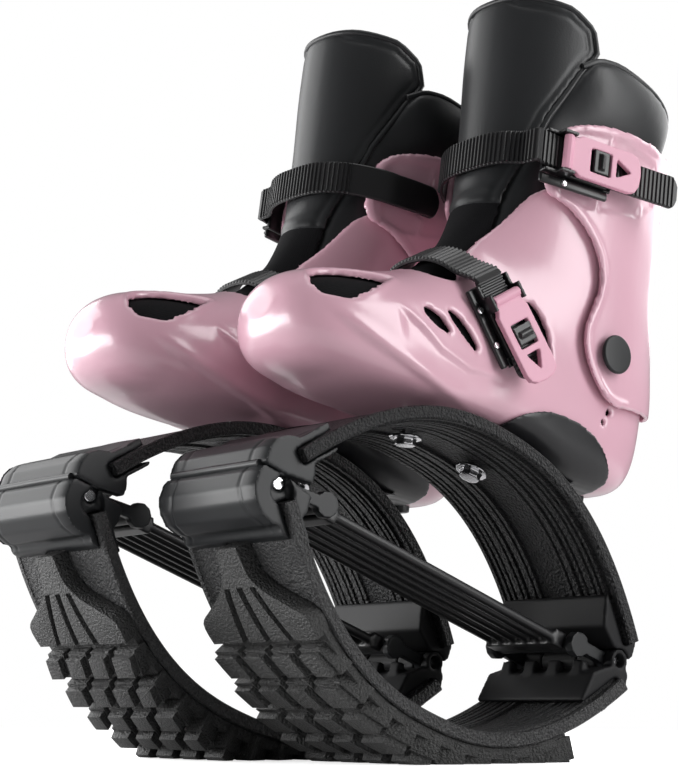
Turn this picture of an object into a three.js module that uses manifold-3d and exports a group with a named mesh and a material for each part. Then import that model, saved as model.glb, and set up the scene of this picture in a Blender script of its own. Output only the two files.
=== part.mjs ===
// A pair of rebound jumping shoes. Each boot stands on a lens of two bowed leaf springs,
// which meet in hinged end caps and are held together by a stretch spring across the middle.
// Millimetres, +Z up, toes towards -Y, the left boot at +X. The floor is Z = 0.
import * as THREE from "three";
import { mergeVertices } from "three/addons/utils/BufferGeometryUtils.js";
import Module from "manifold-3d";

const wasm = await Module();
wasm.setup();

// Fits that every piece shares
const clearance = 0.3;
const soft_clearance = 0.7;
const overrun = 6;
const weld_tolerance = 1e-4;

// Facets round a barrel, a dome, a knuckle or pin, and a small hole or screw
const barrel_sides = 14;
const dome_sides = 12;
const pin_sides = 10;
const screw_sides = 8;

// The pair on the floor
const stance_stagger = 44;
const rock_back_degrees = 20;
const lens_centre_height = 102.3;
const ground = 0;

// The two leaves: bowed strips of equal outline, mirrored about the hinge plane
const leaf_half_length = 132.6;
const leaf_half_width = 49.5;
const leaf_crown_height = 85.3;
const leaf_end_height = 13.4;
const leaf_half_thickness = 3.5;
const leaf_bow_power = 2.31;
const leaf_overshoot_share = 1.2;
const leaf_steps = 12;
const leaf_pitch = (2 * leaf_half_length) / leaf_steps;
const leaf_rib_height = 1.8;
const leaf_rib_first = 16;
const leaf_rib_pitch = 9;
const leaf_rib_count = 3;
const leaf_rib_foot = 3;
const leaf_rim_width = 5;
const leaf_rim_height = 2.2;

// The lugged tread under each lower leaf
const tread_pad_thickness = 3.5;
const tread_half_width = 51;
const tread_rear_inset = 39.6;
const tread_flare_inset = 40.6;
const tread_neck_inset = 22.6;
const tread_tip_inset = 11.6;
const tread_rear = leaf_half_length - tread_rear_inset;
const tread_flare = tread_flare_inset - leaf_half_length;
const tread_neck = tread_neck_inset - leaf_half_length;
const tread_tip = tread_tip_inset - leaf_half_length;
const tread_neck_half_width = 13;
const tread_tip_half_width = 10;
const lug_height_front = 12;
const lug_height_middle = 21;
const lug_row_pitch = 21;
const lug_groove = 4.5;
const lug_slot = 4.5;
const lug_skew = 7;
const lug_columns = 4;
const flare_height_share = 0.8;
const flare_swell_share = 0.55;
const flare_slot_shares = [-0.5, 0, 0.5];
const flare_pinch_share = 0.45;

// Front end caps: a wide barrel under a smaller one, hinged on a common axle
const front_axle_overhang = 4.4;
const front_axle_reach = leaf_half_length + front_axle_overhang;
const front_axle_drop = 4;
const axle_radius = 4;
const cap_swing_degrees = 8.3;
const knuckle_radius = 8;
const knuckle_clearance = 0.6;
const cap_half_width = 45;
const front_barrel_radius = 19;
const front_barrel_inset = 1;
const front_barrel_reach = front_axle_reach - front_barrel_inset;
const front_barrel_drop = 9;
const front_upper_radius = 17;
const front_upper_rise = 6;
const cap_grip_outside = 5;
const cap_grip_inside = 4.5;
const cap_grip_length = 17;
const barrel_mouth_radius = 7.5;
const barrel_mouth_depth = 5;
const upper_knuckle_ranges = [
  [-25, -9],
  [9, 25],
];

// Rear end caps: compact wedges that fill the corner, the lower one with upright tabs
const rear_axle_inset = 4.6;
const rear_axle_reach = leaf_half_length - rear_axle_inset;
const rear_cap_overhang = 5.4;
const rear_end = leaf_half_length + rear_cap_overhang;
const rear_wedge_shares = [
  [0.971, 0.038],
  [0.867, 0.17],
  [0.79, 0.36],
  [0.761, 0.8],
  [0.797, 1],
  [0.899, 0.825],
  [1, 0.375],
  [0.996, 0.15],
];
const rear_wedge_depth = 40;
const rear_knuckle_radius = 7;
const rear_tab_centres = [-30, -10, 10, 30];
const rear_tab_width = 9;
const rear_tab_length = 5;
const rear_tab_height = 7;
const rear_tab_inset = 21.6;
const rear_tab_reach = leaf_half_length - rear_tab_inset;
const rear_tab_foot = 20;

// Yokes and the stretch spring between them
const crossbar_inset = 31.6;
const crossbar_reach = leaf_half_length - crossbar_inset;
const crossbar_seat = 1;
const crossbar_radius = 4.5;
const button_radius = 7.5;
const button_outer = 37;
const arm_thickness = 6;
const arm_half_depth = 3.6;
const strand_count = 6;
const strand_pitch = 10.4;
const strand_radius = 3.2;
const spring_lug_length = 9;
const spring_lug_half_depth = 5;

// Boot: profile stations from the toe round the heel and up the shaft, as shares of the
// boot's length and height, then half width share, widest place and squareness of the sole side
const boot_length = 296;
const boot_height = 272;
const boot_half_width = 52;
const boot_gap = 11;
const boot_spacing = 2 * boot_half_width + boot_gap;
const boot_pitch_degrees = 11;
const boot_seat_height = 92.6;
const boot_station_shares = [
  // top u, top w, bottom u, bottom w, half width, widest, top power, bottom power
  [-0.524, 0.136, -0.526, 0.082, 0.22, 0.5, 2.1, 2.1],
  [-0.511, 0.183, -0.515, 0.039, 0.48, 0.53, 2.1, 2.4],
  [-0.474, 0.22, -0.485, 0.01, 0.7, 0.58, 2.2, 3],
  [-0.406, 0.246, -0.422, 0, 0.86, 0.62, 2.2, 3.6],
  [-0.321, 0.27, -0.338, 0, 0.96, 0.64, 2.2, 4],
  [-0.243, 0.298, -0.236, 0, 1, 0.64, 2.2, 4],
  [-0.193, 0.331, -0.101, 0, 0.96, 0.62, 2.2, 4],
  [-0.162, 0.36, 0.051, 0, 0.89, 0.6, 2.2, 4],
  [-0.139, 0.39, 0.22, 0, 0.83, 0.58, 2.2, 3.6],
  [-0.122, 0.415, 0.372, 0, 0.79, 0.56, 2.2, 3],
  [-0.108, 0.438, 0.453, 0.044, 0.77, 0.54, 2.2, 2.5],
  [-0.098, 0.463, 0.473, 0.154, 0.77, 0.52, 2.2, 2.3],
  [-0.088, 0.489, 0.463, 0.276, 0.8, 0.51, 2.2, 2.2],
  [-0.074, 0.533, 0.439, 0.423, 0.86, 0.5, 2.2, 2.2],
  [-0.064, 0.588, 0.436, 0.588, 0.92, 0.5, 2.3, 2.2],
  [-0.068, 0.882, 0.459, 0.882, 1.02, 0.5, 2.3, 2.2],
  [-0.068, 1, 0.463, 1, 1.04, 0.5, 2.3, 2.2],
];
const ring_points = 14;
const inner_ring_points = 12;
const shell_wall = 4;
const shell_top_share = 0.875;
const toe_taper_share = 0.1875;

// Lower shell: throat, vents and slots, in the side view
const throat_shares = [
  [-0.216, 0.283],
  [-0.139, 0.283],
  [-0.128, 0.338],
  [-0.041, 0.404],
  [0, 0.504],
  [0.088, 0.478],
  [0.236, 0.397],
  [0.338, 0.342],
  [0.54, 0.312],
  [0.54, 0.9],
  [-0.33, 0.9],
  [-0.236, 0.36],
];
const toe_vent_length = 40;
const toe_vent_width = 11;
const toe_vent_reach = -125;
const toe_vent_side = 27;
const toe_vent_floor_share = 0.15;
const toe_vent_depth_share = 0.25;
const side_slit_shares = [
  [-0.257, 0.184, -0.193, 0.151],
  [-0.193, 0.199, -0.115, 0.136],
];
const side_slit_width = 5;
const curved_slot_shares = [
  [0.036, 0.301],
  [0.081, 0.25],
  [0.098, 0.176],
];
const curved_slot_width = 5;

// Cuff that hinges on the ankle rivets, in the side view
const cuff_gap = 1.8;
const cuff_wall = 3.5;
const cuff_rear_gap = 3.9;
const cuff_bottom_share = 0.44;
const cuff_top_share = 0.94;
const cuff_shares = [
  [0.02, 0.551],
  [0.027, 0.669],
  [0.054, 0.71],
  [0.101, 0.732],
  [0.169, 0.75],
  [0.253, 0.757],
  [0.6, 0.779],
  [0.6, 0.176],
  [0.338, 0.14],
  [0.27, 0.129],
  [0.209, 0.184],
  [0.182, 0.239],
  [0.179, 0.287],
  [0.196, 0.338],
  [0.206, 0.39],
  [0.189, 0.449],
  [0.145, 0.496],
  [0.084, 0.537],
];
const ankle_reach = 77;
const ankle_height = 66;
const rivet_cap_radius = 12;
const rivet_cap_thickness = 3;
const rivet_stem_radius = 5;
const rivet_cap_stand = 2.2;
const rivet_dome_share = 0.8;
const ankle_row_share = 0.69;

// Liner and tongue
const liner_wall = 9;
const liner_top_share = 0.9;
const tongue_edge_shares = [
  [-0.3, 0.3],
  [-0.125, 0.3],
  [-0.122, 0.345],
  [-0.035, 0.41],
  [-0.012, 0.55],
  [0.105, 0.885],
  [0.15, 1.1],
  [-0.3, 1.1],
];

// Ladder straps and ratchet buckles
const strap_width = 21;
const strap_thickness = 2.4;
const strap_tooth_height = 1;
const strap_tooth_pitch = 8;
const strap_stand = 1.4;
const instep_stand = 3.6;
const strap_medial_degrees = 90;
const strap_side_degrees = 42;
const strap_step_degrees = 15;
const strap_rise_power = 1.3;
const instep_row_share = 0.45625;
const instep_buckle_degrees = 76;
const instep_tail = 4;
const instep_plain_share = 0.2;
const calf_row_share = 0.884375;
const calf_buckle_degrees = 72;
const calf_tail = 42;
const calf_plain_share = 0.3;
const buckle_length = 56;
const buckle_width = 27;
const buckle_floor = 2.4;
const buckle_lead = 5;
const buckle_wall = 2.2;
const buckle_wall_height = 6.6;
const buckle_ear_height = 12.5;
const buckle_ear_half_length = 5;
const buckle_floor_end_share = 0.8;
const buckle_wall_end_share = 0.6;
const buckle_pivot_share = -0.27;
const buckle_pivot_height = 9.6;
const buckle_pin_radius = 1.5;
const lever_thickness = 3.6;
const lever_height = 7.2;
const lever_reach = 38;
const lever_end_width = 26;
const lever_hub_radius = 3.2;
const lever_neck_length = 6;
const lever_shoulder_length = 9;
const lever_round_share = 0.6;
const lever_window_start = 1;
const lever_window_length = 15;
const lever_window_width = 15;
const lever_eye_start = 20;
const lever_eye_length = 11;
const lever_eye_width = 12;
const pawl_length = 11;
const pawl_thickness = 4.2;
const pawl_knob = 2;
const pawl_knob_share = 0.7;

// What carries the boot on the upper leaf
const mount_front_reach = -2;
const mount_half_width = 34;
const mount_profile_shares = [
  // reach and height of the wedge's side profile, as shares of its length and depth
  [0, 0.03],
  [0.97, 0.12],
  [1, 0],
  [0.98, -0.15],
  [0.47, -0.66],
  [0.3, -1.3],
  [0, -1.1],
];
const mount_length = 122;
const mount_depth = 27;
const mount_lip_height = 9;
const mount_lip_thickness = 3;
const mount_lip_shares = [0.25, 0.95];
const mount_row_shares = [0.375, 0.75];
const bumper_radius = 8;
const bumper_height = 9;
const bumper_share = 0.7;
const bumper_tip_share = 0.8;
const bolt_reaches = [-38, 18];
const bolt_shank_radius = 4;
const bolt_hole_depth = 14;
const bolt_shank_length = 11;
const bolt_head_radius = 6.5;
const bolt_head_height = 4;
const washer_radius = 10;
const washer_thickness = 1.6;

// Colours and finishes
const finishes = {
  shell: { color: 0xe6b3c0, roughness: 0.22, metalness: 0 },
  lever: { color: 0xe6b3c0, roughness: 0.3, metalness: 0 },
  lining: { color: 0x17171a, roughness: 0.55, metalness: 0 },
  strap: { color: 0x1b1b1e, roughness: 0.6, metalness: 0 },
  leaf: { color: 0x151517, roughness: 0.75, metalness: 0 },
  cap: { color: 0x2c2d31, roughness: 0.4, metalness: 0 },
  rubber: { color: 0x242426, roughness: 0.9, metalness: 0 },
  spring: { color: 0x18181a, roughness: 0.6, metalness: 0 },
  steel: { color: 0xc9c9cc, roughness: 0.2, metalness: 1 },
};

const radians = THREE.MathUtils.degToRad;
const lerp = THREE.MathUtils.lerp;

// Solids and meshes

// A closed geometry as a solid that can be joined and cut
function solidOf(geometry) {
  const bare = geometry.clone();
  bare.deleteAttribute("normal");
  bare.deleteAttribute("uv");
  const merged = mergeVertices(bare, weld_tolerance);
  const mesh = new wasm.Mesh({
    numProp: 3,
    vertProperties: new Float32Array(merged.attributes.position.array),
    triVerts: new Uint32Array(merged.index.array),
  });
  return new wasm.Manifold(mesh);
}

// The vertices and triangles of a solid as a geometry
function geometryOf(solid) {
  const mesh = solid.getMesh();
  const geometry = new THREE.BufferGeometry();
  const positions = new Float32Array(mesh.numVert * 3);
  for (let i = 0; i < mesh.numVert; i++)
    for (let k = 0; k < 3; k++)
      positions[3 * i + k] = mesh.vertProperties[i * mesh.numProp + k];
  geometry.setAttribute("position", new THREE.BufferAttribute(positions, 3));
  geometry.setIndex(new THREE.BufferAttribute(new Uint32Array(mesh.triVerts), 1));
  geometry.computeVertexNormals();
  return geometry;
}

// An outline in the Y-Z side view, extruded from one X to another
function prism(outline, fromX, toX) {
  const shape = new THREE.Shape(outline.map(([y, z]) => new THREE.Vector2(y, z)));
  const geometry = new THREE.ExtrudeGeometry(shape, {
    depth: toX - fromX,
    bevelEnabled: false,
  });
  const axes = new THREE.Matrix4().makeBasis(
    new THREE.Vector3(0, 1, 0),
    new THREE.Vector3(0, 0, 1),
    new THREE.Vector3(1, 0, 0),
  );
  return solidOf(geometry.applyMatrix4(axes).translate(fromX, 0, 0));
}

// A round bar along X
function barAlongX(y, z, radius, fromX, toX, sides = pin_sides) {
  const geometry = new THREE.CylinderGeometry(radius, radius, toX - fromX, sides);
  geometry.rotateZ(-Math.PI / 2);
  return solidOf(geometry.translate((fromX + toX) / 2, y, z));
}

function block(x0, x1, y0, y1, z0, z1) {
  const geometry = new THREE.BoxGeometry(x1 - x0, y1 - y0, z1 - z0);
  return solidOf(geometry.translate((x0 + x1) / 2, (y0 + y1) / 2, (z0 + z1) / 2));
}

function union(...solids) {
  return solids.flat().reduce((whole, solid) => whole.add(solid));
}

function without(solid, ...cutters) {
  return cutters.flat().reduce((rest, cutter) => rest.subtract(cutter), solid);
}

// Rings of equal length skinned into one closed body; the end caps follow the ring's outline
function loft(rings, outline) {
  const count = rings[0].length;
  const positions = rings.flat().flatMap((p) => [p.x, p.y, p.z]);
  const index = [];
  for (let i = 0; i + 1 < rings.length; i++)
    for (let j = 0; j < count; j++) {
      const a = i * count + j;
      const b = i * count + ((j + 1) % count);
      index.push(a, b, a + count, b, b + count, a + count);
    }
  const last = (rings.length - 1) * count;
  for (const [a, b, c] of THREE.ShapeUtils.triangulateShape(outline, [])) {
    index.push(a, c, b);
    index.push(last + a, last + b, last + c);
  }
  const geometry = new THREE.BufferGeometry();
  geometry.setAttribute("position", new THREE.Float32BufferAttribute(positions, 3));
  geometry.setIndex(index);
  const solid = solidOf(geometry);
  return solid.volume() < 0 ? solidOf(turned(geometry)) : solid;
}

// The same triangles facing the other way
function turned(geometry) {
  const copy = geometry.clone();
  const index = copy.index.array;
  for (let i = 0; i < index.length; i += 3)
    [index[i + 1], index[i + 2]] = [index[i + 2], index[i + 1]];
  return copy;
}

// The leaf springs

// Height of the leaf's middle surface above the hinge plane, and its slope
function leafHeight(reach) {
  const share = Math.min(Math.abs(reach) / leaf_half_length, leaf_overshoot_share);
  const bow = leaf_crown_height - leaf_end_height;
  return leaf_end_height + bow * (1 - share ** leaf_bow_power);
}

function leafSlope(reach) {
  const share = Math.abs(reach) / leaf_half_length;
  const bow = leaf_crown_height - leaf_end_height;
  const fall = (bow * leaf_bow_power * share ** (leaf_bow_power - 1)) / leaf_half_length;
  return -Math.sign(reach) * fall;
}

// A point of the bowed curve, moved square to it by a distance outside the middle surface
function curvePoint(x, reach, outside, side) {
  const slope = leafSlope(reach);
  const length = Math.hypot(1, slope);
  const y = reach - (outside * slope) / length;
  const z = leafHeight(reach) + outside / length;
  return new THREE.Vector3(x, y, side * z);
}

// The same on the leaf's facets, so that what lies on the leaf follows them at any reach
function leafPoint(x, reach, outside, side) {
  const steps = (reach + leaf_half_length) / leaf_pitch;
  const k = THREE.MathUtils.clamp(Math.floor(steps), 0, leaf_steps - 1);
  const from = curvePoint(x, k * leaf_pitch - leaf_half_length, outside, side);
  const to = curvePoint(x, (k + 1) * leaf_pitch - leaf_half_length, outside, side);
  return from.lerp(to, steps - k);
}

// A section, given across the leaf and outside it, swept from one reach to another
function leafLoft(section, fromReach, toReach, side) {
  const reaches = [fromReach];
  for (let k = 0; k <= leaf_steps; k++) {
    const reach = k * leaf_pitch - leaf_half_length;
    if (reach > fromReach + clearance && reach < toReach - clearance) reaches.push(reach);
  }
  reaches.push(toReach);
  const rings = reaches.map((reach) =>
    section.map(([x, outside]) => leafPoint(x, reach, outside, side)),
  );
  return loft(rings, section.map(([x, outside]) => new THREE.Vector2(x, outside)));
}

// A plain strip between two distances from the leaf's middle surface
function leafBand(halfWidth, inside, outside, fromReach, toReach, side) {
  const section = [
    [-halfWidth, -inside],
    [halfWidth, -inside],
    [halfWidth, outside],
    [-halfWidth, outside],
  ];
  return leafLoft(section, fromReach, toReach, side);
}

// Ribbed inside, plain outside with a raised rim along each edge
function leafSection() {
  const t = leaf_half_thickness;
  const innerRight = [[leaf_rib_first - leaf_rib_foot, -t]];
  for (let k = 0; k < leaf_rib_count; k++) {
    const peak = leaf_rib_first + k * leaf_rib_pitch;
    const last = k === leaf_rib_count - 1;
    innerRight.push([peak, -t - leaf_rib_height]);
    innerRight.push([peak + (last ? leaf_rib_foot : leaf_rib_pitch / 2), -t]);
  }
  const innerLeft = innerRight.map(([x, h]) => [-x, h]).reverse();
  const rim = leaf_half_width - leaf_rim_width;
  return [
    ...innerLeft,
    ...innerRight,
    [leaf_half_width, -t + leaf_rim_height / 2],
    [leaf_half_width, t - leaf_rim_height / 2],
    [rim, t],
    [-rim, t],
    [-leaf_half_width, t - leaf_rim_height / 2],
    [-leaf_half_width, -t + leaf_rim_height / 2],
  ];
}

function boltHoles() {
  const radius = bolt_shank_radius + clearance;
  return bolt_reaches.map((reach) => boltBar(reach, radius, overrun, bolt_hole_depth));
}

// A round bar square to the upper leaf, from a depth inside it to a height outside it
function boltBar(reach, radius, inside, outside, sides = screw_sides) {
  const geometry = new THREE.CylinderGeometry(radius, radius, inside + outside, sides);
  geometry.rotateX(Math.PI / 2).translate(0, 0, (outside - inside) / 2);
  const foot = leafPoint(0, reach, -leaf_half_thickness, 1);
  geometry.rotateX(Math.atan(leafSlope(reach)));
  return solidOf(geometry.translate(foot.x, foot.y, foot.z));
}

function upperLeaf() {
  const strip = leafLoft(leafSection(), -leaf_half_length, leaf_half_length, 1);
  return without(strip, boltHoles());
}

function lowerLeaf() {
  return leafLoft(leafSection(), -leaf_half_length, leaf_half_length, -1);
}

// The leaf with its running clearance, for cutting a socket
function leafSocket(side, end) {
  const t = leaf_half_thickness + clearance;
  const near = end * (leaf_half_length - 2 * cap_grip_length);
  const far = end * (leaf_half_length + clearance);
  const inside = t + leaf_rib_height;
  const halfWidth = leaf_half_width + overrun;
  return leafBand(halfWidth, inside, t, Math.min(near, far), Math.max(near, far), side);
}

// The tread

// Lug height outside the leaf's outer face, deeper where the shoe stands
function lugHeight(reach) {
  const share = THREE.MathUtils.clamp((reach - tread_flare) / -tread_flare, 0, 1);
  return lerp(lug_height_front, lug_height_middle, share);
}

// One lug: a skewed block that follows the leaf
function lug(x0, x1, from, to) {
  const face = leaf_half_thickness + clearance;
  const corners = (reach, skew) => {
    const top = face + lugHeight(reach);
    const foot = face + tread_pad_thickness / 2;
    return [
      leafPoint(x0 + skew, reach, foot, -1),
      leafPoint(x1 + skew, reach, foot, -1),
      leafPoint(x1 + skew, reach, top, -1),
      leafPoint(x0 + skew, reach, top, -1),
    ];
  };
  return loft([corners(from, -lug_skew / 2), corners(to, lug_skew / 2)], unitSquare());
}

// The tread's flared front, grown by a margin: a narrow tongue that widens to the first row
function treadFlare(margin) {
  const full = tread_half_width - lug_skew / 2;
  const corners = [
    [tread_tip - margin, tread_tip_half_width],
    [tread_neck, tread_neck_half_width],
    [(tread_neck + tread_flare) / 2, lerp(tread_neck_half_width, full, flare_swell_share)],
    [tread_flare, full],
    [tread_flare + lug_row_pitch, full],
  ];
  const inside = leaf_half_thickness + clearance - margin;
  const height = flare_height_share * lug_height_front;
  const outside = leaf_half_thickness + clearance + height + margin;
  const rings = withFacets(corners).map(([reach, halfWidth]) => [
    leafPoint(-halfWidth - margin, reach, inside, -1),
    leafPoint(halfWidth + margin, reach, inside, -1),
    leafPoint(halfWidth + margin, reach, outside, -1),
    leafPoint(-halfWidth - margin, reach, outside, -1),
  ]);
  return loft(rings, unitSquare());
}

// Pairs of reach and half width, with one more wherever the leaf has a facet's edge between two
function withFacets(corners) {
  const all = [corners[0]];
  for (let i = 1; i < corners.length; i++) {
    const [from, fromWidth] = corners[i - 1];
    const [to, toWidth] = corners[i];
    for (let k = 0; k <= leaf_steps; k++) {
      const reach = k * leaf_pitch - leaf_half_length;
      const share = (reach - from) / (to - from);
      if (reach > from + clearance && reach < to - clearance)
        all.push([reach, lerp(fromWidth, toWidth, share)]);
    }
    all.push(corners[i]);
  }
  return all;
}

function unitSquare() {
  const corners = [
    [0, 0],
    [1, 0],
    [1, 1],
    [0, 1],
  ];
  return corners.map(([x, y]) => new THREE.Vector2(x, y));
}

function tread() {
  const face = leaf_half_thickness + clearance;
  const padWidth = tread_half_width - lug_skew / 2;
  const padTop = face + tread_pad_thickness;
  const solids = [leafBand(padWidth, -face, padTop, tread_flare, tread_rear, -1)];

  solids.push(treadFlare(0));

  // Rows of lugs, with the slots between them staggered from row to row
  const rows = Math.floor((tread_rear - tread_flare - lug_row_pitch) / lug_row_pitch);
  const rowStart = tread_rear - rows * lug_row_pitch;
  const usable = 2 * tread_half_width - lug_skew;
  const lugWidth = (usable - (lug_columns - 1) * lug_slot) / lug_columns;
  for (let row = 0; row < rows; row++) {
    const from = rowStart + row * lug_row_pitch;
    const stagger = row % 2 ? lug_slot / 2 : -lug_slot / 2;
    for (let column = 0; column < lug_columns; column++) {
      const x = -usable / 2 + column * (lugWidth + lug_slot);
      const inner = column > 0 ? stagger : 0;
      const outer = column < lug_columns - 1 ? stagger : 0;
      solids.push(lug(x + inner, x + lugWidth + outer, from + lug_groove, from + lug_row_pitch));
    }
  }

  // Diagonal slots in the flare
  const slots = flare_slot_shares.map((share) => {
    const x = share * tread_half_width;
    const from = tread_neck + lug_groove;
    const to = tread_flare + lug_row_pitch + overrun;
    const deep = face + tread_pad_thickness;
    const high = face + lug_height_middle;
    const ends = [
      [from, x * flare_pinch_share],
      [to, x + lug_skew],
    ].map(([reach, middle]) => [
      leafPoint(middle - lug_slot / 2, reach, deep, -1),
      leafPoint(middle + lug_slot / 2, reach, deep, -1),
      leafPoint(middle + lug_slot / 2, reach, high, -1),
      leafPoint(middle - lug_slot / 2, reach, high, -1),
    ]);
    return loft(ends, unitSquare());
  });
  return without(union(solids), slots, underFloor());
}

// Everything below the floor, seen from the rocked-back lens
function underFloor() {
  const size = 4 * leaf_half_length;
  const geometry = new THREE.BoxGeometry(size, size, size).translate(0, 0, -size / 2 + ground);
  geometry.translate(0, 0, -lens_centre_height);
  return solidOf(geometry.rotateX(radians(rock_back_degrees)));
}

// The end caps

// What an end cap gives up to its mate: all beyond the parting plane, and a wedge of relief
// on the lens side of the axle, where the two caps close up as the lens flattens
function mateSpace(end, reach, side) {
  const far = 2 * leaf_half_length;
  const relief = reach * Math.tan(radians(cap_swing_degrees));
  const outline = [
    [end * far, side * clearance],
    [end * reach, side * clearance],
    [0, side * (clearance + relief)],
    [0, -side * far],
    [end * far, -side * far],
  ];
  const turnsLeft = end * side < 0;
  return prism(turnsLeft ? outline : outline.reverse(), -far, far);
}

function armSlot(reach, drop, end, radius) {
  const inner = button_outer - arm_thickness - clearance;
  const outer = button_outer + clearance;
  const eye = radius + clearance;
  const depth = arm_half_depth + clearance;
  const swing = (reach - crossbar_reach) * Math.tan(radians(cap_swing_degrees));
  return [-1, 1].flatMap((side) => {
    const x0 = Math.min(side * inner, side * outer);
    const x1 = Math.max(side * inner, side * outer);
    const path = [
      [end * crossbar_reach, depth + swing],
      [end * reach, drop + depth],
      [end * reach, drop - depth],
      [end * crossbar_reach, -depth - swing],
    ];
    const arm = prism(end > 0 ? path.reverse() : path, x0, x1);
    return [barAlongX(end * reach, drop, eye, x0, x1), arm];
  });
}

function frontUpperCap() {
  const barrel = barAlongX(
    -front_barrel_reach,
    front_upper_rise,
    front_upper_radius,
    -cap_half_width,
    cap_half_width,
    barrel_sides,
  );
  const grip = leafBand(
    cap_half_width,
    leaf_half_thickness + cap_grip_inside,
    leaf_half_thickness + cap_grip_outside,
    -leaf_half_length,
    -leaf_half_length + cap_grip_length,
    1,
  );
  const body = union(barrel, grip).subtract(mateSpace(-1, front_axle_reach, 1));
  const knuckles = upper_knuckle_ranges.map(([from, to]) =>
    barAlongX(-front_axle_reach, -front_axle_drop, knuckle_radius, from, to),
  );
  const bore = barAlongX(
    -front_axle_reach,
    -front_axle_drop,
    axle_radius + clearance,
    -cap_half_width,
    cap_half_width,
  );
  return without(
    union(body, knuckles),
    leafSocket(1, -1),
    bore,
    armSlot(front_axle_reach, -front_axle_drop, -1, knuckle_radius),
  );
}

function frontLowerCap() {
  const barrel = barAlongX(
    -front_barrel_reach,
    -front_barrel_drop,
    front_barrel_radius,
    -cap_half_width,
    cap_half_width,
    barrel_sides,
  );
  const grip = leafBand(
    cap_half_width,
    leaf_half_thickness + cap_grip_inside,
    leaf_half_thickness + cap_grip_outside,
    -leaf_half_length,
    -leaf_half_length + cap_grip_length,
    -1,
  );
  const body = union(barrel, grip).subtract(mateSpace(-1, front_axle_reach, -1));
  const pockets = upper_knuckle_ranges.map(([from, to]) =>
    barAlongX(
      -front_axle_reach,
      -front_axle_drop,
      knuckle_radius + knuckle_clearance,
      from - clearance,
      to + clearance,
    ),
  );
  const bore = barAlongX(
    -front_axle_reach,
    -front_axle_drop,
    axle_radius + clearance,
    -cap_half_width,
    cap_half_width,
  );
  const mouths = [-1, 1].map((side) => {
    const inner = side * (cap_half_width - barrel_mouth_depth);
    const outer = side * (cap_half_width + overrun);
    return barAlongX(
      -front_barrel_reach,
      -front_barrel_drop,
      barrel_mouth_radius,
      Math.min(inner, outer),
      Math.max(inner, outer),
    );
  });
  return without(
    body,
    leafSocket(-1, -1),
    pockets,
    bore,
    mouths,
    treadFlare(clearance),
    armSlot(front_axle_reach, -front_axle_drop, -1, knuckle_radius),
  );
}

function rearCap(side) {
  const outline = rear_wedge_shares.map(([reach, depth]) => [
    reach * rear_end,
    side * depth * rear_wedge_depth,
  ]);
  const wedge = prism(side > 0 ? outline : [...outline].reverse(), -cap_half_width, cap_half_width);
  const pitch = (2 * cap_half_width) / 3;
  const mine = (k) => (k % 2 === 0) === side < 0;
  const spans = [0, 1, 2].map((k) => [
    k,
    -cap_half_width + k * pitch,
    -cap_half_width + (k + 1) * pitch,
  ]);
  const knuckles = spans
    .filter(([k]) => mine(k))
    .map(([, from, to]) =>
      barAlongX(rear_axle_reach, 0, rear_knuckle_radius, from + clearance, to - clearance),
    );
  const pockets = spans
    .filter(([k]) => !mine(k))
    .map(([, from, to]) =>
      barAlongX(rear_axle_reach, 0, rear_knuckle_radius + knuckle_clearance, from, to),
    );
  const bore = barAlongX(
    rear_axle_reach,
    0,
    axle_radius + clearance,
    -cap_half_width - overrun,
    cap_half_width + overrun,
  );
  const tabs = side > 0 ? [] : rear_tab_centres.map((x) =>
    block(
      x - rear_tab_width / 2,
      x + rear_tab_width / 2,
      rear_tab_reach - rear_tab_length / 2,
      rear_tab_reach + rear_tab_length / 2,
      -rear_tab_foot,
      -rear_tab_foot + 2 * rear_tab_height,
    ),
  );
  return without(
    union(wedge, knuckles, tabs),
    leafSocket(side, 1),
    pockets,
    bore,
    armSlot(rear_axle_reach, 0, 1, rear_knuckle_radius),
  );
}

function axle(reach, drop) {
  const half = cap_half_width - barrel_mouth_depth - clearance;
  return barAlongX(reach, drop, axle_radius, -half, half);
}

// Yoke: a crossbar with round buttons, and two arms that hook on the axle
function yoke(end, reach, drop, eyeRadius) {
  const inner = button_outer - arm_thickness;
  const seat = inner + crossbar_seat;
  const bar = barAlongX(end * crossbar_reach, 0, crossbar_radius, -seat, seat);
  const arms = [-1, 1].flatMap((side) => {
    const x0 = Math.min(side * inner, side * button_outer);
    const x1 = Math.max(side * inner, side * button_outer);
    const path = [
      [end * crossbar_reach, arm_half_depth],
      [end * reach, drop + arm_half_depth],
      [end * reach, drop - arm_half_depth],
      [end * crossbar_reach, -arm_half_depth],
    ];
    return [
      barAlongX(end * crossbar_reach, 0, button_radius, x0, x1),
      barAlongX(end * reach, drop, eyeRadius, x0, x1),
      prism(end > 0 ? path.reverse() : path, x0, x1),
    ];
  });
  const bore = barAlongX(
    end * reach,
    drop,
    axle_radius + clearance,
    -cap_half_width - overrun,
    cap_half_width + overrun,
  );
  return union(bar, arms).subtract(bore);
}

// The stretch spring: round strands moulded into a lug bar at each end
function stretchSpring() {
  const seat = crossbar_reach - crossbar_radius - clearance;
  const halfSpan = ((strand_count - 1) * strand_pitch) / 2;
  const solids = [-1, 1].map((end) => {
    const a = end * seat;
    const b = end * (seat - spring_lug_length);
    return block(
      -halfSpan - strand_radius,
      halfSpan + strand_radius,
      Math.min(a, b),
      Math.max(a, b),
      -spring_lug_half_depth,
      spring_lug_half_depth,
    );
  });
  const half = seat - spring_lug_length / 2;
  for (let k = 0; k < strand_count; k++) {
    const geometry = new THREE.CylinderGeometry(strand_radius, strand_radius, 2 * half, screw_sides);
    solids.push(solidOf(geometry.translate(-halfSpan + k * strand_pitch, 0, 0)));
  }
  return union(solids);
}

// The boot's body form

const last_row = boot_station_shares.length - 1;

// The table's row nearest to a share of the way from the toe to the top
function rowAt(share) {
  return Math.round(share * last_row);
}

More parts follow.
